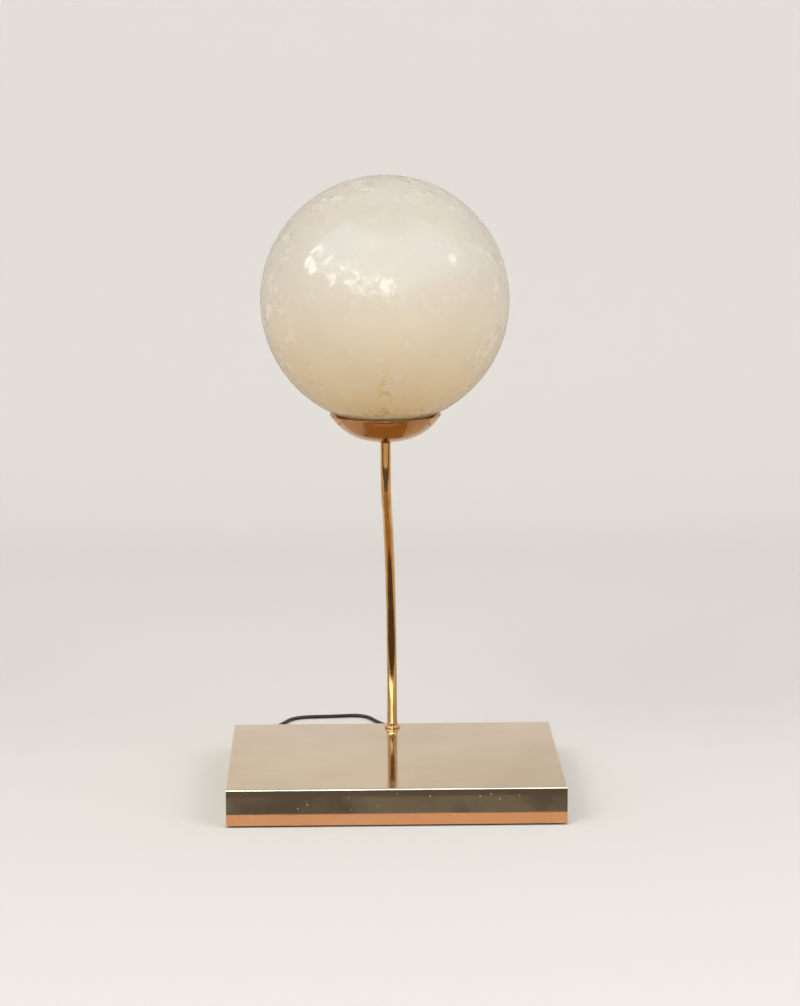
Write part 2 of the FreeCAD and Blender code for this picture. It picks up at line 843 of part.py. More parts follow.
def inner_cable():
    """One cable from the block, up the stem and into the lampholder."""
    block_y = base_depth / 2 - terminal_inset
    start = Vector(terminal_x, block_y, wire_height)
    aside = Vector(terminal_x - feed_lead, block_y, wire_height)
    under = Vector(0, stem_y, wire_height)
    corner = [bend_at(start, aside, under, feed_lead * bend_share),
              bend_at(aside, under, Vector(0, stem_y, stem_bottom), feed_bend)]
    edges = [Part.LineSegment(start, corner[0][0]).toShape(), Part.Arc(*corner[0]).toShape(),
             Part.LineSegment(corner[0][2], corner[1][0]).toShape(), Part.Arc(*corner[1]).toShape()]
    edges += stem_path(wire_height + feed_bend, insert_bottom())
    return cord_tube(edges, inner_cable_radius, "inner_cable")


def terminal_block():
    y0 = base_depth / 2 - terminal_inset - terminal_width / 2
    body = Part.makeBox(terminal_length, terminal_width, terminal_height, Vector(terminal_x, y0, cover_top))
    groove_x = terminal_x + (terminal_length - terminal_groove_width) / 2
    groove = Part.makeBox(terminal_groove_width, terminal_width + 2, terminal_groove_depth + 1,
                          Vector(groove_x, y0 - 1, cover_top + terminal_height - terminal_groove_depth))
    body = body.cut(groove)
    for x, y in terminal_screw_places():
        body = body.cut(Part.makeCylinder(terminal_screw_radius + fit_gap, terminal_height,
                                          Vector(x, y, cover_top + terminal_screw_seat)))
    return body


def terminal_screw_places():
    y = base_depth / 2 - terminal_inset
    return [(terminal_x + terminal_length * share, y + side * terminal_width / 4)
            for share in (terminal_screw_share, 1 - terminal_screw_share) for side in (-1, 1)]


def terminal_screws():
    screws = []
    z0 = cover_top + terminal_screw_seat
    for x, y in terminal_screw_places():
        screw = Part.makeCylinder(terminal_screw_radius, terminal_screw_length, Vector(x, y, z0))
        slot = Part.makeBox(4 * terminal_screw_radius, terminal_slot_width, terminal_slot_depth + 1,
                            Vector(x - 2 * terminal_screw_radius, y - terminal_slot_width / 2,
                                   z0 + terminal_screw_length - terminal_slot_depth))
        screws.append(screw.cut(slot))
    return Part.makeCompound(screws)


def cord_inside():
    y = base_depth / 2 - terminal_inset
    start = Vector(terminal_x + terminal_length, y, wire_height)
    bend_start = Vector(gland_x - cord_bend_inside, y, wire_height)
    bend_end = Vector(gland_x, y + cord_bend_inside, wire_height)
    swing = cord_bend_inside * (1 - math.sqrt(0.5))
    middle = Vector(gland_x - swing, y + swing, wire_height)
    end = Vector(gland_x, sleeve_end(), wire_height)
    edges = [Part.LineSegment(start, bend_start).toShape(), Part.Arc(bend_start, middle, bend_end).toShape(),
             Part.LineSegment(bend_end, end).toShape()]
    return cord_tube(edges, cord_radius, "cord_inside")


def sleeve_end():
    return base_depth / 2 + sleeve_length


def strain_relief():
    """Moulded bush: inner flange, groove for the wall, outer flange and tapered sleeve, along +Y."""
    inside = -base_wall - 2 * thread_gap
    bore = cord_radius + fit_gap
    bevel = gland_chamfer
    body = turned(outline([
        (bore, inside - gland_flange_thickness), (inner_flange_radius - bevel, inside - gland_flange_thickness),
        (inner_flange_radius, inside), (gland_hole_radius - fit_gap, inside),
        (gland_hole_radius - fit_gap, thread_gap), (gland_flange_radius, thread_gap),
        (gland_flange_radius, gland_flange_thickness - bevel),
        (gland_flange_radius - bevel, gland_flange_thickness),
        (sleeve_root_radius, gland_flange_thickness + bevel), (sleeve_tip_radius, sleeve_length),
        (bore, sleeve_length)]))
    body.Placement = Placement(Vector(gland_x, base_depth / 2, wire_height), Rotation(Vector(1, 0, 0), -90))
    return body


# Loose cord


def along_switch(distance):
    """A point on the switch's middle line, so far from its cord entry, seen from above."""
    turn = math.radians(switch_turn)
    return switch_x - distance * math.sin(turn), switch_y + distance * math.cos(turn)


def coil_entry():
    return (coil_x - coil_outer_radius, coil_y + cord_diameter, coil_z)


lead_route = [
    (gland_x, sleeve_end(), wire_height),
    (gland_x, sleeve_end() + switch_lead, wire_height),
    (*along_switch(-switch_lead), switch_cord_height),
    (*along_switch(0), switch_cord_height)]

loop_route = [
    (*along_switch(switch_length), switch_cord_height),
    (*along_switch(switch_length + switch_lead), switch_cord_height),
    (84.5, 254.5, cord_rest + 1.3),
    (74.5, 264.5, cord_rest),
    (60.0, 268.5, cord_rest),
    (40.0, 263.5, cord_rest),
    (20.0, 259.5, cord_rest),
    (-1.0, 264.0, cord_rest),
    (-14.0, 286.0, cord_rest),
    (-28.0, 319.5, cord_rest),
    (-66.0, 314.0, cord_rest),
    (-109.0, 311.5, cord_rest),
    (-122.0, 280.0, cord_rest),
    (-133.5, 256.0, cord_rest),
    (-142.0, 236.0, cord_rest + 0.2),
    (coil_entry()[0], 213.0, coil_z),
    coil_entry()]


def coil_exit():
    steps = coil_steps()
    radius = coil_radius(steps[-1][0])
    return Vector(coil_x + cord_diameter, coil_y - radius, coil_z + 3 * coil_layer)


coil_plan = [
    ("in", 2.0), ("climb", 0.5), ("out", 2.0), ("climb", 0.5), ("in", 2.0), ("climb", 0.5), ("out", 1.75)]


def coil_state(turn):
    """Distance in from the outer turn, and height, both in steps, after so many turns."""
    drawn = 0.0
    level = 0.0
    for kind, span in coil_plan:
        part = max(0.0, min(turn, span))
        turn -= span
        if kind == "in":
            drawn += part
        elif kind == "out":
            drawn -= part
        else:
            level += part / span
        if turn <= 0:
            break
    return drawn, level


def coil_radius(turn):
    return coil_outer_radius - coil_pitch * coil_state(turn)[0]


def coil_point(turn):
    drawn, level = coil_state(turn)
    angle = math.pi + 2 * math.pi * turn
    radius = coil_outer_radius - coil_pitch * drawn
    return Vector(coil_x + radius * math.cos(angle), coil_y + radius * math.sin(angle),
                  coil_z + coil_layer * level)


def coil_steps():
    total = sum(span for kind, span in coil_plan)
    count = int(round(total * 4))
    steps = []
    for i in range(count + 1):
        turn = total * i / count
        angle = math.pi + 2 * math.pi * turn
        if i == 0 or i == count:
            heading = Vector(-math.sin(angle), math.cos(angle), 0)
        else:
            heading = coil_point(turn + 0.125) - coil_point(turn - 0.125)
            heading.normalize()
        steps.append((turn, coil_point(turn), heading))
    return steps


def short_arc(start, corner, end):
    half_chord = (end - start).Length / 2
    middle = (start + end) * 0.5
    rise = (corner - middle).Length
    sagitta = half_chord * math.tan(math.atan2(rise, half_chord) / 2)
    return Part.Arc(start, middle + (corner - middle).normalize() * sagitta, end).toShape()


def biarc(start, heading, end, leaving):
    """Two arcs that meet smoothly, from one point and heading to another."""
    v = end - start
    b = -2 * v.dot(heading + leaving)
    a = 2 * (heading.dot(leaving) - 1)
    c = v.dot(v)
    reach = (-b - math.sqrt(b * b - 4 * a * c)) / (2 * a)
    corner_a = start + heading * reach
    corner_b = end - leaving * reach
    joint = (corner_a + corner_b) * 0.5
    return [short_arc(start, corner_a, joint), short_arc(joint, corner_b, end)]


def coil_path():
    steps = coil_steps()
    first = steps[0]
    last = steps[-1]
    edges = [Part.LineSegment(first[1] - first[2] * cord_diameter, first[1]).toShape()]
    for a, b in zip(steps, steps[1:]):
        edges += biarc(a[1], a[2], b[1], b[2])
    edges.append(Part.LineSegment(last[1], last[1] + last[2] * cord_diameter).toShape())
    return edges


def least_self_gap(edges, step):
    points = []
    travelled = 0.0
    for edge in edges:
        count = max(2, int(edge.Length / step))
        for i in range(count):
            share = i / count
            points.append((travelled + share * edge.Length, edge.valueAt(
                edge.FirstParameter + share * (edge.LastParameter - edge.FirstParameter))))
        travelled += edge.Length
    least = 1e9
    for i, (s, p) in enumerate(points):
        for t, q in points[i + 1:]:
            if t - s > 6 * cord_diameter:
                least = min(least, (p - q).Length)
    return least - cord_diameter


def cord_coil():
    edges = coil_path()
    print("cord_coil least gap to itself %.2f" % least_self_gap(edges, 3.0))
    return cord_tube(edges, cord_radius, "cord_coil")


def cord_tie():
    """Flat band round the coil's turns, on the side towards the middle of the base."""
    inner_turn = coil_outer_radius - 2 * coil_pitch - cord_radius
    inner = math.sqrt(inner_turn ** 2 - (tie_width / 2) ** 2) - tie_gap
    outer = coil_outer_radius + cord_radius + tie_gap
    bottom = coil_z - cord_radius - tie_gap
    top = coil_z + 3 * coil_layer + cord_radius + tie_gap
    hole = Part.makeBox(outer - inner, tie_width + 2, top - bottom,
                        Vector(coil_x + inner, coil_y - tie_width / 2 - 1, bottom))
    band = Part.makeBox(outer - inner + 2 * tie_thickness, tie_width, top - bottom + 2 * tie_thickness,
                        Vector(coil_x + inner - tie_thickness, coil_y - tie_width / 2, bottom - tie_thickness))
    along = [e for e in band.Edges if abs(e.Vertexes[0].Y - e.Vertexes[1].Y) > 1]
    return band.makeFillet(tie_thickness * 0.9, along).cut(hole)


def tail_route():
    start = coil_exit()
    lead = start.x + plug_lead
    span = plug_x - plug_lead - lead
    return [tuple(start), (lead, start.y, start.z),
            (lead + 0.5 * span, start.y + 0.4, (start.z + plug_axis) / 2),
            (plug_x - plug_lead, start.y, plug_axis), (plug_x, start.y, plug_axis)]


# Switch on the cord, built along +Y from its entry and then turned


def on_switch(shape):
    seat = Placement(Vector(switch_x, switch_y, table_gap), Rotation(Vector(0, 0, 1), switch_turn))
    shape.Placement = seat.multiply(shape.Placement)
    return shape


def switch_block(inset, z0, z1):
    body = Part.makeBox(switch_width - 2 * inset, switch_length - 2 * inset, z1 - z0,
                        Vector(-switch_width / 2 + inset, inset, z0))
    upright = [e for e in body.Edges if abs(e.Vertexes[0].Z - e.Vertexes[1].Z) > 0.1]
    return body.makeFillet(switch_end_radius - inset, upright)


def switch_screw_places():
    return [(0, switch_screw_inset), (0, switch_length - switch_screw_inset)]


def switch_base():
    body = switch_block(0, 0, switch_seam)
    under = [e for e in body.Edges if max(v.Z for v in e.Vertexes) < 0.01]
    body = body.makeFillet(switch_lower_round, under)
    body = body.cut(switch_block(switch_wall, switch_wall, switch_seam + 1))
    recess = switch_screw_recess + switch_screw_head_height
    for x, y in switch_screw_places():
        post = Part.makeCylinder(switch_post_radius, switch_seam - switch_wall, Vector(x, y, switch_wall))
        body = body.fuse(post)
        body = body.cut(Part.makeCylinder(switch_screw_radius + loose_gap, switch_height, Vector(x, y, -1)))
        body = body.cut(Part.makeCylinder(switch_screw_head_radius + fit_gap, recess, Vector(x, y, 0)))
    return on_switch(body.removeSplitter())


def rocker_y():
    return switch_length / 2


def switch_cover():
    body = switch_block(0, switch_seam, switch_height)
    over = [e for e in body.Edges if min(v.Z for v in e.Vertexes) > switch_height - 0.01]
    body = body.makeFillet(switch_upper_round, over)
    body = body.cut(switch_block(switch_wall, switch_seam - 1, switch_height - switch_wall))
    half_slot = rocker_length / 2 + rocker_slot_gap
    half_width = rocker_width / 2 + loose_gap
    ceiling = switch_height - switch_wall
    for side in (-1, 1):
        x0 = min(side * half_width, side * (half_width + rib_thickness))
        rib = Part.makeBox(rib_thickness, rib_length, ceiling - switch_seam,
                           Vector(x0, rocker_y() - rib_length / 2, switch_seam))
        body = body.fuse(rib)
    screw_tip = switch_screw_recess + switch_screw_head_height + switch_screw_length
    for x, y in switch_screw_places():
        post = Part.makeCylinder(switch_post_radius, ceiling - switch_seam, Vector(x, y, switch_seam))
        body = body.fuse(post)
        body = body.cut(Part.makeCylinder(switch_screw_radius + thread_gap, screw_tip + 1 - switch_seam,
                                          Vector(x, y, switch_seam)))
    window = Part.makeBox(2 * half_width, 2 * half_slot, switch_wall + 2,
                          Vector(-half_width, rocker_y() - half_slot, ceiling - 1))
    pin_hole = Part.makeCylinder(pin_radius, switch_width,
                                 Vector(-switch_width / 2, rocker_y(), rocker_pivot_height), Vector(1, 0, 0))
    inner = switch_block(switch_wall + 1, 0, switch_height)
    return on_switch(body.cut(window).cut(pin_hole.common(inner)).removeSplitter())


def switch_pin():
    half = rocker_width / 2 + loose_gap + rib_thickness
    return on_switch(Part.makeCylinder(pin_radius - pin_play, 2 * half,
                                       Vector(-half, rocker_y(), rocker_pivot_height), Vector(1, 0, 0)))


def switch_rocker():
    half = rocker_length / 2
    foot = half - rocker_chamfer
    low = rocker_pivot_height - rocker_below_pivot
    high = switch_height + rocker_proud
    points = [(-foot, low), (foot, low), (half, low + rocker_chamfer), (half, high)]
    edges = [Part.LineSegment(Vector(0, a[0], a[1]), Vector(0, b[0], b[1])).toShape()
             for a, b in zip(points, points[1:])]
    dip = Vector(0, 0, high - rocker_crown)
    edges.append(Part.Arc(Vector(0, half, high), dip, Vector(0, -half, high)).toShape())
    rest = [(-half, high), (-half, low + rocker_chamfer), (-foot, low)]
    edges += [Part.LineSegment(Vector(0, a[0], a[1]), Vector(0, b[0], b[1])).toShape()
              for a, b in zip(rest, rest[1:])]
    body = Part.Face(Part.Wire(edges)).extrude(Vector(rocker_width, 0, 0))
    body.translate(Vector(-rocker_width / 2, rocker_y(), 0))
    bore_start = Vector(-rocker_width / 2 - 1, rocker_y(), rocker_pivot_height)
    body = body.cut(Part.makeCylinder(pin_radius + thread_gap, rocker_width + 2, bore_start, Vector(1, 0, 0)))
    body.rotate(Vector(0, rocker_y(), rocker_pivot_height), Vector(1, 0, 0), rocker_tilt)
    return on_switch(body)


def switch_screws():
    screws = []
    radius = switch_screw_head_radius
    seat = switch_screw_recess + switch_screw_head_height
    for x, y in switch_screw_places():
        head = Part.makeCylinder(radius, switch_screw_head_height, Vector(x, y, switch_screw_recess))
        shank = Part.makeCylinder(switch_screw_radius, switch_screw_length, Vector(x, y, seat))
        slot = Part.makeBox(2 * radius + 1, switch_slot_width, switch_slot_depth + 1,
                            Vector(x - radius - 0.5, y - switch_slot_width / 2, switch_screw_recess - 1))
        screws.append(head.fuse(shank).removeSplitter().cut(slot))
    return on_switch(Part.makeCompound(screws))


def switch_contacts():
    strips = []
    for side in (-1, 1):
        y = rocker_y() + side * strip_offset
        foot = Part.makeBox(strip_width, strip_sheet, strip_rise,
                            Vector(-strip_width / 2, y - strip_sheet / 2, switch_wall))
        clamp = Part.makeBox(strip_width, strip_reach, strip_sheet,
                             Vector(-strip_width / 2, min(y, y - side * strip_reach), switch_wall + strip_rise))
        strips.append(foot.fuse(clamp).removeSplitter())
    return on_switch(Part.makeCompound(strips))


# Plug, built along +X from its cord entry


def on_plug(shape):
    shape.translate(Vector(plug_x, coil_exit().y, table_gap))
    return shape


def plug_body():
    sleeve = Part.makeCone(plug_sleeve_tip_radius, plug_sleeve_radius, plug_sleeve_length + 1,
                           Vector(0, 0, plug_height / 2), Vector(1, 0, 0))
    x0 = plug_sleeve_length
    x1 = x0 + plug_length
    shoulder = x0 + plug_shoulder
    narrow = plug_entry_width / 2
    wide = plug_width / 2
    front = plug_front_width / 2
    points = [(x0, -narrow), (shoulder, -wide), (x1, -front), (x1, front), (shoulder, wide), (x0, narrow),
              (x0, -narrow)]
    face = Part.Face(Part.makePolygon([Vector(x, y, 0) for x, y in points]))
    body = face.extrude(Vector(0, 0, plug_height))
    upright = [e for e in body.Edges if abs(e.Vertexes[0].Z - e.Vertexes[1].Z) > 0.1]
    body = body.makeFillet(plug_edge_round, upright)
    flat = [e for e in body.Edges if abs(e.BoundBox.ZMax - e.BoundBox.ZMin) < 0.01]
    body = body.makeFillet(plug_face_round, flat)
    body = fused([body, sleeve])
    for y in (-plug_pin_spacing / 2, plug_pin_spacing / 2):
        body = body.cut(Part.makeCylinder(plug_pin_radius + thread_gap, plug_pin_depth + 1,
                                          Vector(x1 - plug_pin_depth, y, plug_height / 2), Vector(1, 0, 0)))
    return on_plug(body)


def plug_pins():
    x1 = plug_sleeve_length + plug_length
    pins = []
    for y in (-plug_pin_spacing / 2, plug_pin_spacing / 2):
        pin = Part.makeCylinder(plug_pin_radius, plug_pin_length + plug_pin_depth,
                                Vector(x1 - plug_pin_depth, y, plug_height / 2), Vector(1, 0, 0))
        tip = [e for e in pin.Edges if e.BoundBox.XMin > x1 + plug_pin_length - 0.01]
        pins.append(pin.makeFillet(plug_pin_round, tip))
    return on_plug(Part.makeCompound(pins))


def build():
    os.makedirs("parts", exist_ok=True)
    nodes = {
        "base_shell": base_shell, "base_cover": base_cover, "base_feet": base_feet, "cover_lugs": cover_lugs,
        "cover_screws": cover_screws, "ballast_plate": ballast_plate, "ballast_screws": ballast_screws,
        "stem_tube": stem_tube, "stem_collar": stem_collar, "stem_head_ring": stem_head_ring,
        "stem_washer": stem_washer, "stem_lock_washer": stem_lock_washer, "stem_nut": stem_nut,
        "gallery_cup": gallery_cup, "gallery_washer": gallery_washer, "gallery_nut": gallery_nut,
        "gallery_bushes": gallery_bushes, "globe_gasket": globe_gasket, "glass_globe": glass_globe,
        "holder_cap": holder_cap, "holder_insert": holder_insert, "holder_shell": holder_shell,
        "holder_screw_shell": holder_screw_shell, "holder_contact": holder_contact,
        "bulb_contact": bulb_contact, "bulb_cap": bulb_cap, "bulb_glass": bulb_glass,
        "inner_cable": inner_cable, "terminal_block": terminal_block, "terminal_screws": terminal_screws,
        "cord_inside": cord_inside, "strain_relief": strain_relief,
        "cord_coil": cord_coil, "cord_tie": cord_tie,
        "switch_base": switch_base, "switch_cover": switch_cover, "switch_pin": switch_pin,
        "switch_rocker": switch_rocker, "switch_screws": switch_screws, "switch_contacts": switch_contacts,
        "plug_body": plug_body, "plug_pins": plug_pins}
    for name, make in nodes.items():
        export(make(), name)
    for i in range(gallery_screw_count):
        export(gallery_screw(i), "gallery_screw_%d" % (i + 1))
    routes = {"cord_lead": lead_route, "cord_loop": loop_route, "cord_tail": tail_route()}
    for name, route in routes.items():
        export(cord_tube(tangent_path(route, name), cord_radius, name), name)


build()
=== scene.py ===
import json
import math
import bmesh
import bpy
from mathutils import Matrix, Vector

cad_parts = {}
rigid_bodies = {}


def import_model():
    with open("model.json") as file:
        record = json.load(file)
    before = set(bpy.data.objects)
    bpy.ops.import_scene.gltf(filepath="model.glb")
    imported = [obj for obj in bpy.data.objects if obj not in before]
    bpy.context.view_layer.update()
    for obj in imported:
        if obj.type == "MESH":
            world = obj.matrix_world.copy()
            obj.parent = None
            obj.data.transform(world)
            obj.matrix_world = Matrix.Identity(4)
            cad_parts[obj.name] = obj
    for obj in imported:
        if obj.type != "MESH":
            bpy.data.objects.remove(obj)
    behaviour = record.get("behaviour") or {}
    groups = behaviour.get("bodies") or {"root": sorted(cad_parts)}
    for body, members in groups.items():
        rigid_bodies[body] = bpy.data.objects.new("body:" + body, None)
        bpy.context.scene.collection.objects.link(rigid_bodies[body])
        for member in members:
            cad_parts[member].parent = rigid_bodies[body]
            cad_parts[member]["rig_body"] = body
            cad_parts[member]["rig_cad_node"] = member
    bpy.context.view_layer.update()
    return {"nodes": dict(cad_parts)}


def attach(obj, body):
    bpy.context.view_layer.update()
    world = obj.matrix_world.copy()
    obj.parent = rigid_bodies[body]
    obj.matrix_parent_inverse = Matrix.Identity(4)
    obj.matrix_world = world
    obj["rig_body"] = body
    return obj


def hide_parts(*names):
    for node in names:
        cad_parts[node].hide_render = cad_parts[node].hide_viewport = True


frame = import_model()
print("frame loaded")

# Shared places in metres, as the solids have them
axis = {"footY": 0.1155, "headX": -0.008144, "headY": -0.039892, "turn": math.radians(-3.0),
        "reach": 0.155604}
level = {"baseTop": 0.0395, "cupBottom": 0.3772, "cupRim": 0.404109, "globe": 0.519209}
head = (axis["headX"], axis["headY"])


# Small helpers

def hexToLinear(text):
    parts = [int(text[i:i + 2], 16) / 255 for i in (1, 3, 5)]
    return tuple([p / 12.92 if p <= 0.04045 else ((p + 0.055) / 1.055) ** 2.4 for p in parts] + [1.0])


def perMm(size):
    return 1000.0 / size  # pattern scale on object coordinates, for features of that many millimetres


# Inputs come by name or number, or as a list for the first ones. A hex text is a colour, and a node gives
# its first output
def feed(tree, node, inputs):
    for name, value in inputs.items() if isinstance(inputs, dict) else enumerate(inputs):
        if isinstance(value, str):
            value = hexToLinear(value)
        if isinstance(value, bpy.types.Node):
            value = value.outputs[0]
        if isinstance(value, bpy.types.NodeSocket):
            tree.links.new(value, node.inputs[name])
        else:
            node.inputs[name].default_value = value


def addNode(tree, kind, inputs=(), **settings):
    node = tree.nodes.new("ShaderNode" + kind)
    for name, value in settings.items():
        setattr(node, name, value)
    feed(tree, node, inputs)
    return node


def newMaterial(name, **values):
    material = bpy.data.materials.new(name)
    material.use_nodes = True
    tree = material.node_tree
    shader = tree.nodes["Principled BSDF"]
    feed(tree, shader, {key.replace("_", " "): value for key, value in values.items()})
    return material, tree, shader


# A surface with three patterns, each of its own real size: clouds of tone, patches of gloss and a fine grain
# in relief. Tone and gloss are given as millimetres, detail and the range that is spread out
def cloudedMaterial(name, light, dark, tone, gloss, rough, grain, depth, **values):
    material, tree, shader = newMaterial(name, **values)
    coords = addNode(tree, "TexCoord").outputs["Object"]
    clouds, patches, relief = [
        addNode(tree, "TexNoise", {"Vector": coords, "Scale": perMm(size), "Detail": detail,
                                   "Roughness": 0.55})
        for size, detail in (tone[:2], gloss[:2], grain)]
    clouds = addNode(tree, "MapRange", [clouds, *tone[2:]])
    feed(tree, shader, {
        "Base Color": addNode(tree, "Mix", {0: clouds, 6: light, 7: dark}, data_type="RGBA").outputs[2],
        "Roughness": addNode(tree, "MapRange", [patches, *gloss[2:], *rough]),
        "Normal": addNode(tree, "Bump", {"Height": relief, "Distance": depth})})
    return material


def deselectAll():
    if bpy.context.mode != "OBJECT":
        bpy.ops.object.mode_set(mode="OBJECT")
    bpy.ops.object.select_all(action="DESELECT")


def pick(obj):
    deselectAll()
    obj.select_set(True)
    bpy.context.view_layer.objects.active = obj


def named(name):
    obj = bpy.context.object
    obj.name = name
    obj.data.name = name
    return obj


def settle(obj):
    pick(obj)
    bpy.ops.object.transform_apply(location=True, rotation=True, scale=True)
    return obj


def selectWhere(obj, kind, test):
    mesh = bmesh.from_edit_mesh(obj.data)
    for group in (mesh.verts, mesh.edges, mesh.faces):
        for item in group:
            item.select = False
    for item in getattr(mesh, kind):
        item.select = bool(test(item))
    if kind == "verts":
        mesh.select_flush(True)
    else:
        mesh.select_flush_mode()
    bmesh.update_edit_mesh(obj.data)


def applyModifier(obj, kind, **settings):
    pick(obj)
    modifier = obj.modifiers.new(kind.title(), kind)
    for name, value in settings.items():
        setattr(modifier, name, value)
    bpy.ops.object.modifier_apply(modifier=modifier.name)


def finishPiece(obj, body, material, nodes, angle=35.0):
    pick(obj)
    bpy.ops.object.shade_smooth_by_angle(angle=math.radians(angle))
    obj.data.materials.clear()
    obj.data.materials.append(material)
    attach(obj, body)
    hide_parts(*nodes)
    return obj


# Grow a ring of radius and height steps into a closed turned piece
def turnProfile(name, profile, centre, sides=96):
    deselectAll()
    radius, z = profile[0]
    bpy.ops.mesh.primitive_circle_add(vertices=sides, radius=radius, location=(*centre, z))
    obj = named(name)
    settle(obj)
    bpy.ops.object.mode_set(mode="EDIT")
    bpy.ops.mesh.select_all(action="SELECT")
    for nextRadius, nextZ in profile[1:] + profile[:1]:
        bpy.ops.mesh.extrude_region_move(TRANSFORM_OT_translate={"value": (0, 0, nextZ - z)})
        share = nextRadius / radius
        bpy.ops.transform.resize(value=(share, share, 1.0), center_override=(*centre, nextZ))
        radius, z = nextRadius, nextZ
    bpy.ops.mesh.select_all(action="SELECT")
    bpy.ops.mesh.remove_doubles(threshold=1e-7)
    bpy.ops.mesh.normals_make_consistent(inside=False)
    bpy.ops.object.mode_set(mode="OBJECT")
    return obj


def arcPoints(centre, radius, start, end, count):
    points = []
    for i in range(count + 1):
        angle = math.radians(start + (end - start) * i / count)
        points.append((centre[0] + radius * math.cos(angle), centre[1] + radius * math.sin(angle)))
    return points


def dressNode(node, material, angle=32.0):
    source = frame["nodes"][node]
    piece = source.copy()
    piece.data = source.data.copy()
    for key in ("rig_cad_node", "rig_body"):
        if key in piece:
            del piece[key]
    piece.parent = None
    bpy.context.scene.collection.objects.link(piece)
    piece.name = node + "_piece"
    pick(piece)
    bpy.ops.object.mode_set(mode="EDIT")
    bpy.ops.mesh.select_all(action="SELECT")
    bpy.ops.mesh.remove_doubles(threshold=1e-6)
    bpy.ops.object.mode_set(mode="OBJECT")
    return finishPiece(piece, source["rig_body"], material, [node], angle)


# Camera, at the photograph's place: metres, degrees and millimetres of lens

camera = {"place": (-0.05495, -3.0357, 0.84164), "down": 10.011, "right": 1.169, "roll": 0.235,
          "lens": 107.356, "sensor": 36.0, "reach": 50.0}
deselectAll()
bpy.ops.object.camera_add()
view = bpy.context.object
view.name = "viewCamera"
view.data.lens = camera["lens"]
view.data.sensor_width = camera["sensor"]
view.data.clip_end = camera["reach"]
view.matrix_world = (Matrix.Translation(camera["place"])
                     @ Matrix.Rotation(math.radians(-camera["right"]), 4, "Z")
                     @ Matrix.Rotation(math.radians(90 - camera["down"]), 4, "X")
                     @ Matrix.Rotation(math.radians(-camera["roll"]), 4, "Z"))
bpy.context.scene.camera = view
bpy.context.scene.view_settings.view_transform = "Standard"
print("camera placed")


# Cord: one black round flex from the gland, through the switch, to the coil and the plug

# Moulded PVC flex: near black, a low even sheen from the smooth sheath, faint dust in the low places.
# The sheath's fine drag grain is drawn a little coarse to show
def flexMaterial():
    return cloudedMaterial("pvcFlexSheath", "#201a16", "#332b25", tone=(18, 5, 0.42, 0.75),
                           gloss=(6, 3, 0.3, 0.7), rough=(0.34, 0.5), grain=(0.6, 2), depth=0.00003,
                           IOR=1.52)


flex = {"diameter": 0.004, "length": 1.80, "exit": (0.1, 0.135, 0.01)}

# The route in millimetres, the same as the solids follow
flexLead = [(100, 134, 10), (100, 147, 10), (100, 155, 10), (100, 164, 9.9), (99, 182, 7.3),
            (97.4, 190.9, 7.2), (94.1, 209.6, 7.2), (90.318, 231.24, 7.2)]
flexLoop = [(88.755, 240.1, 7.1), (84.5, 254.5, 3.5), (74.5, 264.5, 2.2), (60, 268.5, 2.2), (40, 263.5, 2.2),
            (20, 259.5, 2.2), (-1, 264, 2.2), (-14, 286, 2.2), (-28, 319.5, 2.2), (-66, 314, 2.2),
            (-109, 311.5, 2.2), (-122, 280, 2.2), (-133.5, 256, 2.2), (-142, 236, 2.4), (-147, 213, 3),
            (-147, 197, 3)]
flexTail = [(-101.5, 160.24, 17.25), (-90.5, 160.24, 17.25), (-79.8, 160.64, 12.1), (-69, 160.24, 7.0),
            (-58, 160.24, 7.0), (-50, 160.24, 7.0)]
flexCoil = {"x": -120, "y": 186, "z": 3.0, "radius": 27.0, "pitch": 4.95, "layer": 4.95, "perTurn": 16,
            "plan": [("in", 2.0), ("climb", 0.5), ("out", 2.0), ("climb", 0.5), ("in", 2.0), ("climb", 0.5),
                     ("out", 1.75)]}


def coilPoints():
    c = flexCoil
    points = []
    outset = 1 + 0.25 * (math.pi / c["perTurn"]) ** 2  # the spline runs a little inside its points
    total = sum(span for kind, span in c["plan"])
    for i in range(int(total * c["perTurn"]) + 1):
        turn = left = i / c["perTurn"]
        drawn = rise = 0.0
        for kind, span in c["plan"]:
            part = max(0.0, min(left, span))
            left -= span
            drawn += part if kind == "in" else -part if kind == "out" else 0.0
            rise += part / span if kind == "climb" else 0.0
        angle = math.pi + 2 * math.pi * turn
        radius = (c["radius"] - c["pitch"] * drawn) * outset
        points.append((c["x"] + radius * math.cos(angle), c["y"] + radius * math.sin(angle),
                       c["z"] + c["layer"] * rise))
    return points


def makeFlex():
    line = bpy.data.curves.new("flexCord", "CURVE")
    line.dimensions = "3D"
    line.bevel_depth = flex["diameter"] / 2
    line.bevel_resolution = 4
    line.resolution_u = 5
    line.use_fill_caps = True
    points = flexLead + flexLoop + coilPoints() + flexTail
    spline = line.splines.new("NURBS")
    spline.points.add(len(points) - 1)
    for point, place in zip(spline.points, points):
        point.co = (place[0] / 1000, place[1] / 1000, place[2] / 1000, 1.0)
    spline.order_u = 3
    spline.use_endpoint_u = True
    cord = bpy.data.objects.new("flexCord", line)
    bpy.context.scene.collection.objects.link(cord)
    line.materials.append(flexMaterial())
    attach(cord, "lamp")
    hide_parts("cord_lead", "cord_loop", "cord_coil", "cord_tail")
    return cord


flexCord = makeFlex()
print("cord laid")


# Studio: pale floor and backdrop, soft lamps, and cards that only polished surfaces see

studio = {"floorColour": "#e6e3de", "floorY": -1.2, "floorWide": 8.0, "floorDeep": 5.0, "wallY": 1.3,
          "sweep": 0.5, "wallHigh": 4.0, "behind": "#f0f0ee", "behindLight": 0.9, "fadeFrom": 2.0,
          "fadeTo": 3.4}


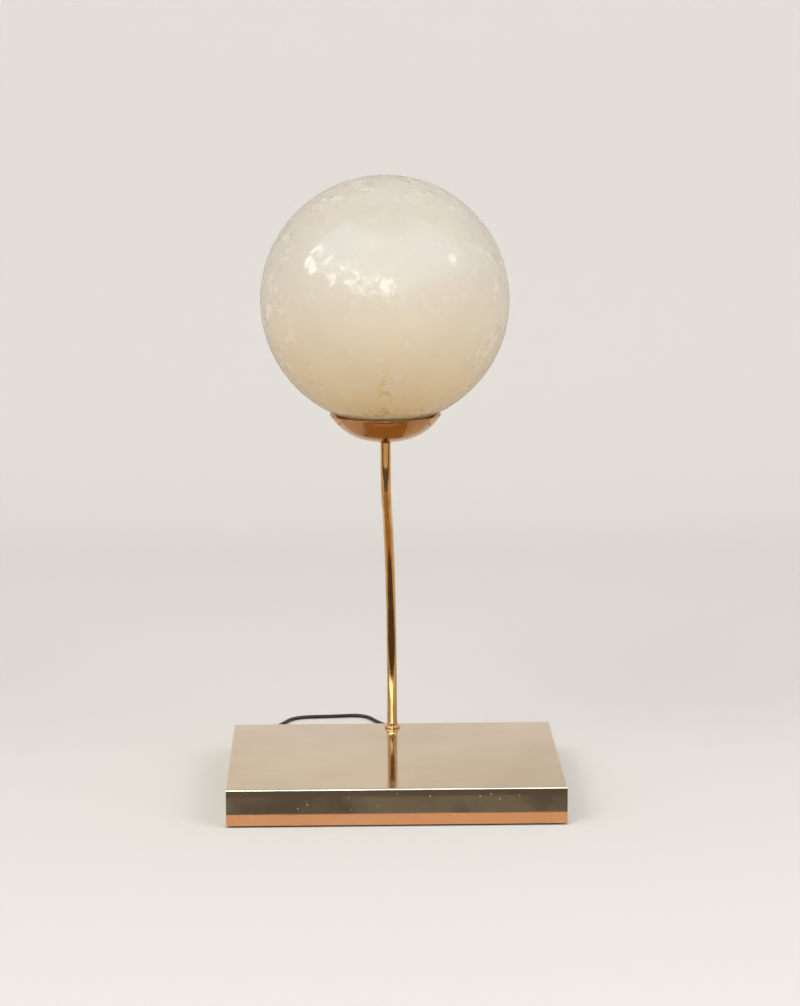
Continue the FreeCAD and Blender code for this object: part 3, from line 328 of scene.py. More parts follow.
# The sweep is clear from behind, so that the lamp is seen from all sides, and its far floor fades out
def makeStudio():
    deselectAll()
    bpy.ops.mesh.primitive_plane_add(size=1.0, location=(0, studio["floorY"], 0))
    floor = named("studioFloor")
    floor.scale = (studio["floorWide"], studio["floorDeep"], 1.0)
    settle(floor)
    farEdge = studio["floorY"] + studio["floorDeep"] / 2
    bpy.ops.object.mode_set(mode="EDIT")
    selectWhere(floor, "edges", lambda e: all(v.co.y > farEdge - 0.1 for v in e.verts))
    above = (0, studio["wallY"], studio["sweep"])
    bpy.ops.mesh.spin(steps=16, angle=-math.pi / 2, center=above, axis=(1, 0, 0))
    bpy.ops.mesh.extrude_region_move(TRANSFORM_OT_translate={"value": (0, 0, studio["wallHigh"])})
    bpy.ops.object.mode_set(mode="OBJECT")
    bpy.ops.object.shade_smooth()
    material, tree, shader = newMaterial("mattPaperSweep", Base_Color=studio["floorColour"], Roughness=0.9,
                                         Specular_IOR_Level=0.15)
    coords = addNode(tree, "TexCoord").outputs["Object"]
    away = addNode(tree, "VectorMath", [coords], operation="LENGTH").outputs["Value"]
    fading = addNode(tree, "MapRange", [away, studio["fadeFrom"], studio["fadeTo"]])
    looked = addNode(tree, "LightPath").outputs["Is Camera Ray"]
    far = addNode(tree, "Math", [fading, looked], operation="MULTIPLY")
    glow = addNode(tree, "Emission", {"Color": studio["behind"], "Strength": studio["behindLight"]})
    fade = addNode(tree, "MixShader", [far, shader, glow])
    back = addNode(tree, "NewGeometry").outputs["Backfacing"]
    mix = addNode(tree, "MixShader", [back, fade, addNode(tree, "BsdfTransparent")])
    feed(tree, tree.nodes["Material Output"], {"Surface": mix})
    floor.data.materials.append(material)


# A card can be kept to rays of some steepness, fading in between two, to rays from within a distance,
# or to first reflections that set out from the base's flat top
def addCard(name, corners, colour, seen=None, within=9.0, fromTop=False, blotch=None):
    deselectAll()
    bpy.ops.mesh.primitive_plane_add(size=1.0)
    card = named(name)
    for vertex, corner in zip(card.data.vertices, corners):
        vertex.co = corner
    material, tree, shader = newMaterial(name + "Paper", Base_Color=colour, Roughness=1.0,
                                         Specular_IOR_Level=0.0)
    if blotch:
        coords = addNode(tree, "TexCoord").outputs["Object"]
        stretched = addNode(tree, "Mapping", {"Vector": coords, "Scale": (1.0, 0.12, 1.0)})
        cloud = addNode(tree, "TexNoise", {"Vector": stretched, "Scale": perMm(80), "Detail": 3,
                                           "Roughness": 0.55})
        cloud = addNode(tree, "MapRange", [cloud, 0.42, 0.58])
        tone = addNode(tree, "Mix", {0: cloud, 6: colour, 7: blotch}, data_type="RGBA").outputs[2]
        feed(tree, shader, {"Base Color": tone})
    if seen:
        ray = addNode(tree, "LightPath").outputs
        hit = addNode(tree, "NewGeometry").outputs
        steepness = addNode(tree, "SeparateXYZ", [hit["Incoming"]]).outputs["Z"]
        shown = addNode(tree, "MapRange", [steepness, *seen])
        limits = [addNode(tree, "MapRange", [ray["Ray Length"], within, within + 0.02, 1.0, 0.0])]
        if fromTop:
            start = addNode(tree, "VectorMath", [hit["Incoming"], ray["Ray Length"], hit["Position"]],
                            operation="MULTIPLY_ADD")
            start = addNode(tree, "SeparateXYZ", [start]).outputs
            front, above = cards["topFront"], level["baseTop"] + cards["topSlack"]
            limits += [addNode(tree, "MapRange", [start["Y"], front, front + 0.002]),
                       addNode(tree, "MapRange", [start["Z"], above, above + 0.001, 1.0, 0.0]),
                       addNode(tree, "Math", [ray["Ray Depth"], 1.5], operation="LESS_THAN")]
        for limit in limits:
            shown = addNode(tree, "Math", [shown, limit], operation="MULTIPLY")
        mix = addNode(tree, "MixShader", [shown, addNode(tree, "BsdfTransparent"), shader])
        feed(tree, tree.nodes["Material Output"], {"Surface": mix})
    card.data.materials.append(material)
    card.visible_camera = False
    card.visible_diffuse = False
    card.visible_transmission = False
    card.visible_shadow = False
    card.visible_volume_scatter = False


def floorCard(name, across, along, z, colour, **look):
    addCard(name, [(x, y, z) for y in along for x in across], colour, **look)


def wallCard(name, across, y, heights, colour, **look):
    addCard(name, [(x, y, z) for z in heights for x in across], colour, **look)


def addLamp(name, place, size, power, colour):
    deselectAll()
    bpy.ops.object.light_add(type="AREA", location=place)
    lamp = bpy.context.object
    lamp.name = name
    lamp.data.shape = "RECTANGLE"
    lamp.data.size, lamp.data.size_y = size
    lamp.data.energy = power
    lamp.data.color = hexToLinear(colour)[:3]
    lamp.visible_glossy = False
    lamp.rotation_euler = (Vector(lampTarget) - Vector(place)).to_track_quat("-Z", "Y").to_euler()


# Directions as the sine of their height or side, strengths as multiples of white
sky = {"from": 0.15, "edge": 0.02, "riseLeft": 0.28, "riseRight": 0.13, "light": 2.7, "lowLight": 0.5,
       "wallLight": 0.8, "sunlit": 10.0, "eaves": 0.9, "shade": 0.7, "post": (0.831, -0.185, 0.526),
       "postLight": 0.6, "leaves": 8.0, "twigs": 17.0, "tint": "#bfe0f6", "wallTint": "#f2f4f4",
       "sunTint": "#fffaf0", "eavesTint": "#b08a62", "room": "#f6f5f4", "roomLight": 0.78}


# What gloss sees: open sky ahead from just over the horizon, sunlit leaves low on its left, dark eaves above.
# All else sees an even pale room
def makeWorld():
    world = bpy.data.worlds.new("paleStudio")
    bpy.context.scene.world = world
    world.use_nodes = True
    tree = world.node_tree
    tree.nodes.clear()
    toward = addNode(tree, "TexCoord").outputs["Generated"]
    x, y, z = addNode(tree, "SeparateXYZ", [toward]).outputs

    ahead = addNode(tree, "MapRange", [y, -0.02, 0.06, 1.0, 0.0])
    slope = addNode(tree, "MapRange", [x, -0.05, 0.05, sky["riseLeft"], sky["riseRight"]])
    rise = addNode(tree, "Math", [x, x], operation="MULTIPLY")
    rise = addNode(tree, "Math", [rise, slope], operation="MULTIPLY")
    above = addNode(tree, "Math", [z, sky["from"]], operation="SUBTRACT")
    above = addNode(tree, "Math", [above, rise], operation="SUBTRACT")
    window = addNode(tree, "MapRange", [above, 0.0, sky["edge"]])
    window = addNode(tree, "Math", [window, ahead], operation="MULTIPLY")

    leaves, twigs = [addNode(tree, "TexNoise", {"Vector": toward, "Scale": sky[kind], "Detail": 4.0})
                     for kind in ("leaves", "twigs")]
    leaves = addNode(tree, "MapRange", [leaves, 0.5, 0.51])
    twigs = addNode(tree, "MapRange", [twigs, 0.46, 0.465])
    gaps = addNode(tree, "Math", [leaves, twigs], operation="MULTIPLY")
    low = addNode(tree, "MapRange", [above, 0.28, 0.38, 1.0, 0.0])
    left = addNode(tree, "MapRange", [x, 0.05, 0.2, 1.0, 0.0])
    low = addNode(tree, "Math", [low, left], operation="MULTIPLY")
    lit = addNode(tree, "Math", [low, gaps], operation="MULTIPLY")
    post = addNode(tree, "VectorMath", [toward, sky["post"]], operation="DISTANCE").outputs["Value"]
    post = addNode(tree, "MapRange", [post, 0.075, 0.095, sky["postLight"], 0.0])
    lit = addNode(tree, "Math", [lit, post], operation="MAXIMUM")
    lit = addNode(tree, "Math", [lit, window], operation="MULTIPLY")

    bright = addNode(tree, "MapRange", [z, 0.26, 0.5, sky["lowLight"], sky["light"] - sky["wallLight"]])
    bright = addNode(tree, "Math", [window, bright], operation="MULTIPLY")
    bright = addNode(tree, "Math", [bright, sky["wallLight"]], operation="ADD")
    sun = addNode(tree, "Math", [lit, sky["sunlit"]], operation="MULTIPLY")
    bright = addNode(tree, "Math", [bright, sun], operation="ADD")
    roofed = addNode(tree, "MapRange", [z, sky["eaves"], sky["eaves"] + 0.06])
    roofed = addNode(tree, "Math", [roofed, sky["shade"]], operation="MULTIPLY")
    unroofed = addNode(tree, "Math", [1.0, roofed], operation="SUBTRACT")
    bright = addNode(tree, "Math", [bright, unroofed], operation="MULTIPLY")
    tint = addNode(tree, "Mix", {0: window, 6: sky["wallTint"], 7: sky["tint"]}, data_type="RGBA").outputs[2]
    tint = addNode(tree, "Mix", {0: lit, 6: tint, 7: sky["sunTint"]}, data_type="RGBA").outputs[2]
    tint = addNode(tree, "Mix", {0: roofed, 6: tint, 7: sky["eavesTint"]}, data_type="RGBA").outputs[2]

    ray = addNode(tree, "LightPath").outputs
    room = addNode(tree, "Background", {"Color": sky["room"], "Strength": sky["roomLight"]})
    pale = addNode(tree, "Background", {"Color": studio["behind"], "Strength": studio["behindLight"]})
    outside = addNode(tree, "Background", {"Color": tint, "Strength": bright})
    direct = addNode(tree, "Math", [ray["Is Camera Ray"], ray["Is Transmission Ray"]], operation="MAXIMUM")
    indoors = addNode(tree, "MixShader", [direct, room, pale])
    mix = addNode(tree, "MixShader", [ray["Is Glossy Ray"], indoors, outside])
    addNode(tree, "OutputWorld", {"Surface": mix})


makeStudio()
makeWorld()

lampTarget = (0, 0, 0.3)
addLamp("softWindow", (-1.6, -2.2, 2.3), (1.8, 1.4), 36.0, "#fffdfa")
addLamp("softFill", (1.9, -1.8, 1.9), (1.6, 1.4), 26.0, "#fbfbff")

# Floor cards tone what polished faces show of the ground, the low and foot cards what the cup and the stem
# show of the base, the next card what the base's top shows from behind. The last two stand upright, far in
# front and close behind
cards = {"across": (-3.6, 3.6), "tableEdge": -0.183, "nearWall": 0.33, "yard": (-1.4, -0.3), "yardEnd": -3.0,
         "topFront": -0.1315, "topSlack": 0.0005, "downward": (0.42, 0.5), "upward": (-0.28, -0.4)}
floorCard("paleYardCard", cards["across"], (cards["yardEnd"], cards["nearWall"]), 0.0005, "#d4c4b0")
floorCard("yardCard", cards["across"], cards["yard"], 0.001, "#645a51")
floorCard("frontCard", (-0.32, 0.32), (-0.31, cards["tableEdge"]), 0.0012, "#645d55", blotch="#7d766b")
floorCard("tableCard", (-0.2, 0.2), (cards["tableEdge"], -0.1), 0.0015, "#ecb48e")
addCard("lowCard", [(-0.233, -0.15, 0.041), (0.217, -0.15, 0.041),
                    (-0.084, 0.203, 0.041), (0.068, 0.203, 0.041)], "#b08a53", seen=cards["downward"])
floorCard("footCard", (-0.3, 0.3), (-0.15, 0.25), 0.0412, "#5a4d44", seen=cards["downward"], within=0.2)
wallCard("topFromBehindCard", (-1.2, 1.2), -0.24, (0.04, 0.5), "#efe9e0", seen=cards["upward"], fromTop=True)
wallCard("yardWall", cards["across"], cards["yardEnd"], (0.0, 0.85), "#8a7c70")
wallCard("nearWallCard", cards["across"], cards["nearWall"], (0.0, 2.2), "#e9e2da")
print("studio set")


# Base: nickel-plated sheet box

# Polished nickel plate: near mirror with a warm grey cast, hairline wiping marks, smears, dust specks
# and a few pin-prick pits
def nickelMaterial():
    material, tree, shader = newMaterial("polishedNickelPlate")
    coords = addNode(tree, "TexCoord").outputs["Object"]
    cloud = addNode(tree, "TexNoise", {"Vector": coords, "Scale": perMm(90), "Detail": 4, "Roughness": 0.55})
    cloud = addNode(tree, "MapRange", [cloud, 0.35, 0.7])
    tint = addNode(tree, "Mix", {0: cloud, 6: "#decfb9", 7: "#d3c2a9"}, data_type="RGBA").outputs[2]
    pits, motes = [addNode(tree, "TexVoronoi", {"Vector": coords, "Scale": perMm(apart)})
                   for apart in (9.0, 10.0)]
    pit = addNode(tree, "MapRange", [pits, 0.03, 0.055, 1.0, 0.0])
    tint = addNode(tree, "Mix", {0: pit, 6: tint, 7: "#8f8068"}, data_type="RGBA").outputs[2]
    mote = addNode(tree, "MapRange", [motes, 0.045, 0.065, 0.8, 0.0])  # dust specks, dull and pale
    smear = addNode(tree, "TexNoise", {"Vector": coords, "Scale": perMm(42), "Detail": 6, "Roughness": 0.6,
                                       "Distortion": 0.8})
    wave = addNode(tree, "TexNoise", {"Vector": coords, "Scale": perMm(70), "Detail": 1, "Roughness": 0.55})
    wave = addNode(tree, "Bump", {"Height": wave, "Distance": 0.00012})  # the sheet isn't dead flat
    stretch = addNode(tree, "Mapping", {"Vector": coords, "Scale": (1.0, 26.0, 26.0)})
    hair = addNode(tree, "TexNoise", {"Vector": stretch, "Scale": perMm(24), "Detail": 2, "Roughness": 0.55})
    feed(tree, shader, {
        "Base Color": addNode(tree, "Mix", {0: mote, 6: tint, 7: "#efe9df"}, data_type="RGBA").outputs[2],
        "Metallic": addNode(tree, "Math", [1.0, mote], operation="SUBTRACT"),
        "Roughness": addNode(tree, "MapRange", [smear, 0.38, 0.72, 0.045, 0.11]),
        "Normal": addNode(tree, "Bump", {"Height": hair, "Distance": 0.000004, "Normal": wave})})
    return material


base = {"width": 0.342, "depth": 0.266, "bottom": 0.002, "cornerRadius": 0.006, "edgeRadius": 0.002,
        "wall": 0.0012}


def makeBase():
    height = level["baseTop"] - base["bottom"]
    deselectAll()
    bpy.ops.mesh.primitive_cube_add(size=1.0, location=(0, 0, base["bottom"] + height / 2))
    box = named("baseBox")
    box.scale = (base["width"], base["depth"], height)
    settle(box)
    bpy.ops.object.mode_set(mode="EDIT")
    selectWhere(box, "edges", lambda e: abs(e.verts[0].co.z - e.verts[1].co.z) > height / 2)
    bpy.ops.mesh.bevel(offset=base["cornerRadius"], offset_type="OFFSET", segments=10, affect="EDGES")
    selectWhere(box, "edges", lambda e: all(v.co.z > level["baseTop"] - 1e-5 for v in e.verts))
    bpy.ops.mesh.bevel(offset=base["edgeRadius"], offset_type="OFFSET", segments=6, affect="EDGES")
    selectWhere(box, "faces", lambda f: f.normal.z < -0.9)
    bpy.ops.mesh.delete(type="FACE")
    bpy.ops.object.mode_set(mode="OBJECT")
    applyModifier(box, "SOLIDIFY", thickness=base["wall"], offset=-1.0, use_even_offset=True)
    return finishPiece(box, "lamp", nickelMaterial(), ["base_shell"], angle=25)


makeBase()
print("base made")


# Stem: bent brass tube with turned collar and head ring

# Polished lacquered brass: bright yellow metal, lacquer gone warm in clouds, small dull dark specks in places
def brassMaterial(name, light, dark, speck, roughness=(0.06, 0.16), fleck=7.0):
    material, tree, shader = newMaterial(name, Metallic=1.0)
    coords = addNode(tree, "TexCoord").outputs["Object"]
    cloud, rare, wave = [
        addNode(tree, "TexNoise", {"Vector": coords, "Scale": perMm(size), "Detail": detail,
                                   "Roughness": 0.55})
        for size, detail in ((24, 5), (14, 2), (5, 3))]
    cloud = addNode(tree, "MapRange", [cloud, 0.35, 0.7])
    tint = addNode(tree, "Mix", {0: cloud, 6: light, 7: dark}, data_type="RGBA").outputs[2]
    spot = addNode(tree, "TexVoronoi", {"Vector": coords, "Scale": perMm(fleck)})
    spot = addNode(tree, "MapRange", [spot, 0.06, 0.13, 1.0, 0.0])
    rare = addNode(tree, "MapRange", [rare, 0.47, 0.57])
    mark = addNode(tree, "Math", [spot, rare], operation="MULTIPLY")
    rough = addNode(tree, "TexNoise", {"Vector": coords, "Scale": perMm(9), "Detail": 5, "Roughness": 0.6})
    rough = addNode(tree, "MapRange", [rough, 0.35, 0.7, *roughness])
    dull = addNode(tree, "Math", [mark, 0.3], operation="MULTIPLY")
    feed(tree, shader, {
        "Base Color": addNode(tree, "Mix", {0: mark, 6: tint, 7: speck}, data_type="RGBA").outputs[2],
        "Roughness": addNode(tree, "Math", [rough, dull], operation="ADD"),
        "Normal": addNode(tree, "Bump", {"Height": wave, "Distance": 0.00002})})
    return material


stemBrass = brassMaterial("polishedBrassTube", "#dfbb86", "#cfa06b", "#5f3c1f")
stem = {"radius": 0.00525, "threadRadius": 0.005, "wall": 0.001, "bottom": 0.0248, "threadTop": 0.0447,
        "foot": 0.0595, "lowerBend": 0.295, "upperBend": 0.058, "lean": math.radians(56.0),
        "headThread": 0.3748, "top": 0.4112}


def ringTo(radiusFrom, radiusTo, centre):
    bpy.ops.mesh.extrude_region_move(TRANSFORM_OT_translate={"value": (0, 0, 0)})
    share = radiusTo / radiusFrom
    bpy.ops.transform.resize(value=(share, share, 1.0), center_override=centre)


def raiseRing(height):
    bpy.ops.mesh.extrude_region_move(TRANSFORM_OT_translate={"value": (0, 0, height)})


# Drawn straight back to front, then turned on its foot
def makeStem():
    deselectAll()
    footY, s = axis["footY"], stem
    bpy.ops.mesh.primitive_circle_add(vertices=64, radius=s["threadRadius"], location=(0, footY, s["bottom"]))
    tube = named("stemTube")
    settle(tube)
    bpy.ops.object.mode_set(mode="EDIT")
    bpy.ops.mesh.select_all(action="SELECT")
    raiseRing(s["threadTop"] - s["bottom"])
    ringTo(s["threadRadius"], s["radius"], (0, footY, s["threadTop"]))
    raiseRing(s["foot"] - s["threadTop"])
    lower = (0, footY - s["lowerBend"], s["foot"])
    bpy.ops.mesh.spin(steps=120, angle=-s["lean"], center=lower, axis=(1, 0, 0))
    side = s["lowerBend"] + s["upperBend"]
    upper = (0, lower[1] + side * math.cos(s["lean"]), s["foot"] + side * math.sin(s["lean"]))
    bpy.ops.mesh.spin(steps=60, angle=s["lean"], center=upper, axis=(1, 0, 0))
    raiseRing(s["headThread"] - upper[2])
    ringTo(s["radius"], s["threadRadius"], (0, footY - axis["reach"], s["headThread"]))
    raiseRing(s["top"] - s["headThread"])
    bpy.ops.mesh.select_all(action="SELECT")
    bpy.ops.mesh.remove_doubles(threshold=1e-7)
    bpy.ops.mesh.normals_make_consistent(inside=False)
    bpy.ops.object.mode_set(mode="OBJECT")
    applyModifier(tube, "SOLIDIFY", thickness=s["wall"], offset=-1.0)
    tube.data.transform(Matrix.Translation((0, footY, 0)) @ Matrix.Rotation(axis["turn"], 4, "Z")
                        @ Matrix.Translation((0, -footY, 0)))
    return finishPiece(tube, "lamp", stemBrass, ["stem_tube"], angle=40)


makeStem()

# The collar's radii, with heights over the base's top
collar = {"bore": 0.00505, "seat": 0.0079, "radius": 0.00825, "foot": 0.0004, "lip": 0.0013, "round": 0.0009,
          "shoulder": (0.0066, 0.0022), "neck": 0.0061, "neckFrom": 0.0026, "neckTo": 0.0046, "mouth": 0.0059,
          "height": 0.0052}


def makeCollar():
    c = collar
    profile = [(c["bore"], 0.0), (c["seat"], 0.0), (c["radius"], c["foot"]), (c["radius"], c["lip"])]
    profile += arcPoints((c["radius"] - c["round"], c["lip"]), c["round"], 0, 90, 6)
    profile += [c["shoulder"], (c["neck"], c["neckFrom"]), (c["neck"], c["neckTo"]),
                (c["mouth"], c["height"]), (c["bore"], c["height"])]
    profile = [(radius, level["baseTop"] + z) for radius, z in profile]
    piece = turnProfile("stemCollar", profile, (0, axis["footY"]))
    return finishPiece(piece, "lamp", stemBrass, ["stem_collar"])


headRing = {"bore": 0.00505, "radius": 0.0059, "edge": 0.0005, "height": 0.0024}


def makeHeadRing():
    r, top = headRing, level["cupBottom"]
    bottom = top - r["height"]
    profile = [(r["bore"], bottom), (r["radius"] - r["edge"], bottom), (r["radius"], bottom + r["edge"]),
               (r["radius"], top - r["edge"]), (r["radius"] - r["edge"], top), (r["bore"], top)]
    darkened = brassMaterial("darkenedBrassRing", "#a9743f", "#7d4d26", "#3c2412", (0.2, 0.4))
    piece = turnProfile("stemHeadRing", profile, head)
    return finishPiece(piece, "lamp", darkened, ["stem_head_ring"])


makeCollar()
makeHeadRing()
print("stem made")


# Cup: spun brass with a coppery lacquer

cup = {"arc": 0.0545, "flat": 0.0095, "wall": 0.001, "bore": 0.0051, "rimRound": 0.0005, "rimDrop": 0.0002}
cupBrass = brassMaterial("spunCopperedBrass", "#c69b70", "#b98a5e", "#4f2c16", (0.08, 0.18), 3.5)


def cupCurve(inset, count=28):
    radius = cup["arc"] - inset
    centreZ = level["cupBottom"] + cup["arc"]
    end = math.acos((centreZ - level["cupRim"]) / radius)
    return [(cup["flat"] + radius * math.sin(end * i / count), centreZ - radius * math.cos(end * i / count))
            for i in range(count + 1)]


def makeCup():
    bottom = level["cupBottom"]
    outer = [(cup["bore"], bottom)] + cupCurve(0.0)
    inner = cupCurve(cup["wall"])[::-1] + [(cup["bore"], bottom + cup["wall"])]
    rimAt = ((outer[-1][0] + inner[0][0]) / 2, level["cupRim"] - cup["rimDrop"])
    rim = arcPoints(rimAt, cup["rimRound"], -20, 200, 7)
    bowl = turnProfile("galleryCup", outer[:-1] + rim + inner[1:], head, 160)
    return finishPiece(bowl, "lamp", cupBrass, ["gallery_cup"])


makeCup()
print("cup made")


# Globe: blown glass with a blistered, chipped outer skin

glass = {"radius": 0.125, "wall": 0.003, "neck": 0.042, "bottom": 0.391, "around": 280, "rings": 190,
         "innerRings": 44, "lip": 0.014}


# Iced lustre glass: cream frosted body that light soaks through, a clear wavy skin that breaks reflections
# into glints, chips and flakes near its edges, where the paler chips are also a painted glint. A painted warm
# light grows towards the bottom, and a painted glow stands for the brass holder seen through the glass
def lustreMaterial():
    material, tree, shader = newMaterial(
        "icedLustreGlass", IOR=1.5, Subsurface_Weight=0.15, Subsurface_Scale=0.004,
        Subsurface_Radius=(1.0, 0.8, 0.6), Thin_Film_IOR=1.45, Thin_Film_Thickness=400.0, Coat_Weight=0.9,
        Coat_Roughness=0.02, Coat_IOR=1.5)
    coords = addNode(tree, "TexCoord").outputs["Object"]
    x, y, height = addNode(tree, "SeparateXYZ", [coords]).outputs
    edge = addNode(tree, "LayerWeight").outputs["Facing"]
    cloud, gloss, swell = [
        addNode(tree, "TexNoise", {"Vector": coords, "Scale": perMm(size), "Detail": detail,
                                   "Roughness": 0.55})
        for size, detail in ((60, 5), (14, 5), (30, 2))]
    cells = addNode(tree, "TexVoronoi", {"Vector": coords, "Scale": perMm(6.5)}).outputs
    tones = addNode(tree, "SeparateColor", [cells["Color"]]).outputs

    # flakes crowd near the outline and thin out towards the middle and the brass; the paler chips, crowding
    # at the outline, are a painted glint there
    patch = addNode(tree, "TexNoise", {"Vector": coords, "Scale": perMm(26), "Detail": 6, "Roughness": 0.7})
    patch = addNode(tree, "MapRange", [patch, 0.48, 0.56])
    outline = addNode(tree, "MapRange", [edge, 0.35, 0.75])
    clear = addNode(tree, "MapRange", [height, 0.43, 0.47, 0.2, 1.0])
    rim = addNode(tree, "Math", [outline, clear], operation="MULTIPLY")
    rim = addNode(tree, "MapRange", [rim, 0.0, 1.0, 0.12, 1.0])
    flaked = addNode(tree, "Math", [patch, rim], operation="MULTIPLY")
    # paler chips; where they crowd at the outline they are a painted glint
    chipAndPaintedGlint = addNode(tree, "MapRange", [tones[0], 0.62, 0.66])
    chipAndPaintedGlint = addNode(tree, "Math", [chipAndPaintedGlint, flaked], operation="MULTIPLY")
    chipAndPaintedGlint = addNode(tree, "Math", [chipAndPaintedGlint, 0.9], operation="MULTIPLY")
    worn = addNode(tree, "MapRange", [tones[1], 0.78, 0.82])
    worn = addNode(tree, "Math", [worn, flaked], operation="MULTIPLY")
    worn = addNode(tree, "Math", [worn, 0.35], operation="MULTIPLY")
    olive = addNode(tree, "TexNoise", {"Vector": coords, "Scale": perMm(5), "Detail": 5, "Roughness": 0.65})
    olive = addNode(tree, "MapRange", [olive, 0.54, 0.6])
    byBrass = addNode(tree, "MapRange", [height, 0.424, 0.412])
    olive = addNode(tree, "Math", [olive, byBrass], operation="MULTIPLY")
    olive = addNode(tree, "Math", [olive, 0.4], operation="MULTIPLY")
    # painted warm light, stronger towards the bottom of the globe
    paintedWarmLight = addNode(tree, "MapRange", [height, 0.58, 0.40])
    paintedWarmLight = addNode(tree, "Math", [paintedWarmLight, 1.5], operation="POWER")
    cloud = addNode(tree, "MapRange", [cloud, 0.35, 0.68])
    body = "#e7e2d4"
    # the body colour: random clouds, worn and olive flecks, plus the painted warm light, the painted chip
    # glint and the painted holder glow
    for share, colour in ((cloud, "#e7ddce"), (paintedWarmLight, "#ffe1ab"), (chipAndPaintedGlint, "#fffaec"), (worn, "#cda577"),
                          (olive, "#a38d56"), (paintedHolderGlow(tree, coords, x, y, height), "#e3b65a")):
        body = addNode(tree, "Mix", {0: share, 6: body, 7: colour}, data_type="RGBA").outputs[2]

    swell = addNode(tree, "Bump", {"Height": swell, "Distance": 0.0008})
    depth = addNode(tree, "Math", [flaked, 0.05], operation="ADD")
    scales = addNode(tree, "Math", [cells["Distance"], depth], operation="MULTIPLY")
    feed(tree, shader, {
        "Base Color": body,
        "Roughness": addNode(tree, "MapRange", [gloss, 0.35, 0.65, 0.34, 0.55]),
        "Normal": addNode(tree, "Bump", {"Height": scales, "Distance": 0.0008, "Normal": swell}),
        "Coat Normal": skinNormal(tree, coords, cells["Color"], flaked)})
    soak = addNode(tree, "BsdfTranslucent", {"Color": body})
    share = addNode(tree, "MapRange", [height, 0.50, 0.40, 0.25, 0.4])
    feed(tree, tree.nodes["Material Output"], {"Surface": addNode(tree, "MixShader", [share, shader, soak])})
    return material


# The clear skin waves gently, and each chipped cell leans its own way, so single flakes flash or go dull
def skinNormal(tree, coords, cellColour, flaked):
    wave = addNode(tree, "TexNoise", {"Vector": coords, "Scale": perMm(34), "Detail": 1, "Roughness": 0.55})
    ripple = addNode(tree, "TexNoise", {"Vector": coords, "Scale": perMm(9), "Detail": 3, "Roughness": 0.6,
                                        "Distortion": 1.0})
    wavy = addNode(tree, "Bump", {"Height": wave, "Distance": 0.0008})
    wavy = addNode(tree, "Bump", {"Height": ripple, "Distance": 0.0001, "Normal": wavy})
    lean = addNode(tree, "VectorMath", [cellColour, (0.5, 0.5, 0.5)], operation="SUBTRACT")
    reach = addNode(tree, "Math", [flaked, 0.7], operation="MULTIPLY")
    lean = addNode(tree, "VectorMath", {0: lean, "Scale": reach}, operation="SCALE")
    tilted = addNode(tree, "VectorMath", [wavy, lean], operation="ADD")
    return addNode(tree, "VectorMath", [tilted], operation="NORMALIZE")


# Painted glow of the brass lampholder: a faint broken warm streak painted low on the globe's front, where the
# holder would show through the glass
glow = {"x": head[0] - 0.0014, "frontY": head[1] - 0.03}


def paintedHolderGlow(tree, coords, x, y, height):
    across = addNode(tree, "Math", [x, glow["x"]], operation="SUBTRACT")
    across = addNode(tree, "Math", [across, 0.0], operation="ABSOLUTE")
    streak = addNode(tree, "MapRange", [across, 0.003, 0.009, 1.0, 0.0])
    front = addNode(tree, "MapRange", [y, glow["frontY"], glow["frontY"] + 0.01, 1.0, 0.0])
    streak = addNode(tree, "Math", [streak, front], operation="MULTIPLY")
    bottom = addNode(tree, "MapRange", [height, 0.405, 0.412])
    top = addNode(tree, "MapRange", [height, 0.44, 0.48, 1.0, 0.0])
    tall = addNode(tree, "Math", [bottom, top], operation="MULTIPLY")
    streak = addNode(tree, "Math", [streak, tall], operation="MULTIPLY")
    broken = addNode(tree, "TexNoise", {"Vector": coords, "Scale": perMm(9), "Detail": 3, "Roughness": 0.55})
    broken = addNode(tree, "MapRange", [broken, 0.48, 0.58])
    broken = addNode(tree, "Math", [broken, 0.5], operation="MULTIPLY")
    return addNode(tree, "Math", [streak, broken], operation="MULTIPLY")


# Inner face of the glass: fire-polished and clear, so that only the frosted skin scatters
def clearFaceMaterial():
    material, tree, shader = newMaterial("firePolishedInside", Base_Color="#fdf8ee", Roughness=0.03, IOR=1.1,
                                         Transmission_Weight=1.0)
    coords = addNode(tree, "TexCoord").outputs["Object"]
    wave = addNode(tree, "TexNoise", {"Vector": coords, "Scale": perMm(40), "Detail": 2, "Roughness": 0.55})
    feed(tree, shader, {"Normal": addNode(tree, "Bump", {"Height": wave, "Distance": 0.0003})})
    return material


def cutBall(name, radius, rings, neck):
    deselectAll()
    bpy.ops.mesh.primitive_uv_sphere_add(segments=glass["around"], ring_count=rings, radius=radius,
                                         location=(*head, level["globe"]))
    ball = named(name)
    settle(ball)
    low = level["globe"] - math.sqrt(radius ** 2 - neck ** 2)
    bpy.ops.object.mode_set(mode="EDIT")
    bpy.ops.mesh.select_all(action="SELECT")
    bpy.ops.mesh.bisect(plane_co=(0, 0, low), plane_no=(0, 0, 1), clear_inner=True)
    bpy.ops.object.mode_set(mode="OBJECT")
    return ball


# Lengths in metres: blown waves and chipped scabs, which stop short of the neck
skin = {"waveSize": 0.03, "wave": 0.0005, "scabSize": 0.007, "scab": 0.00012, "scabContrast": 1.2,
        "below": 0.108}


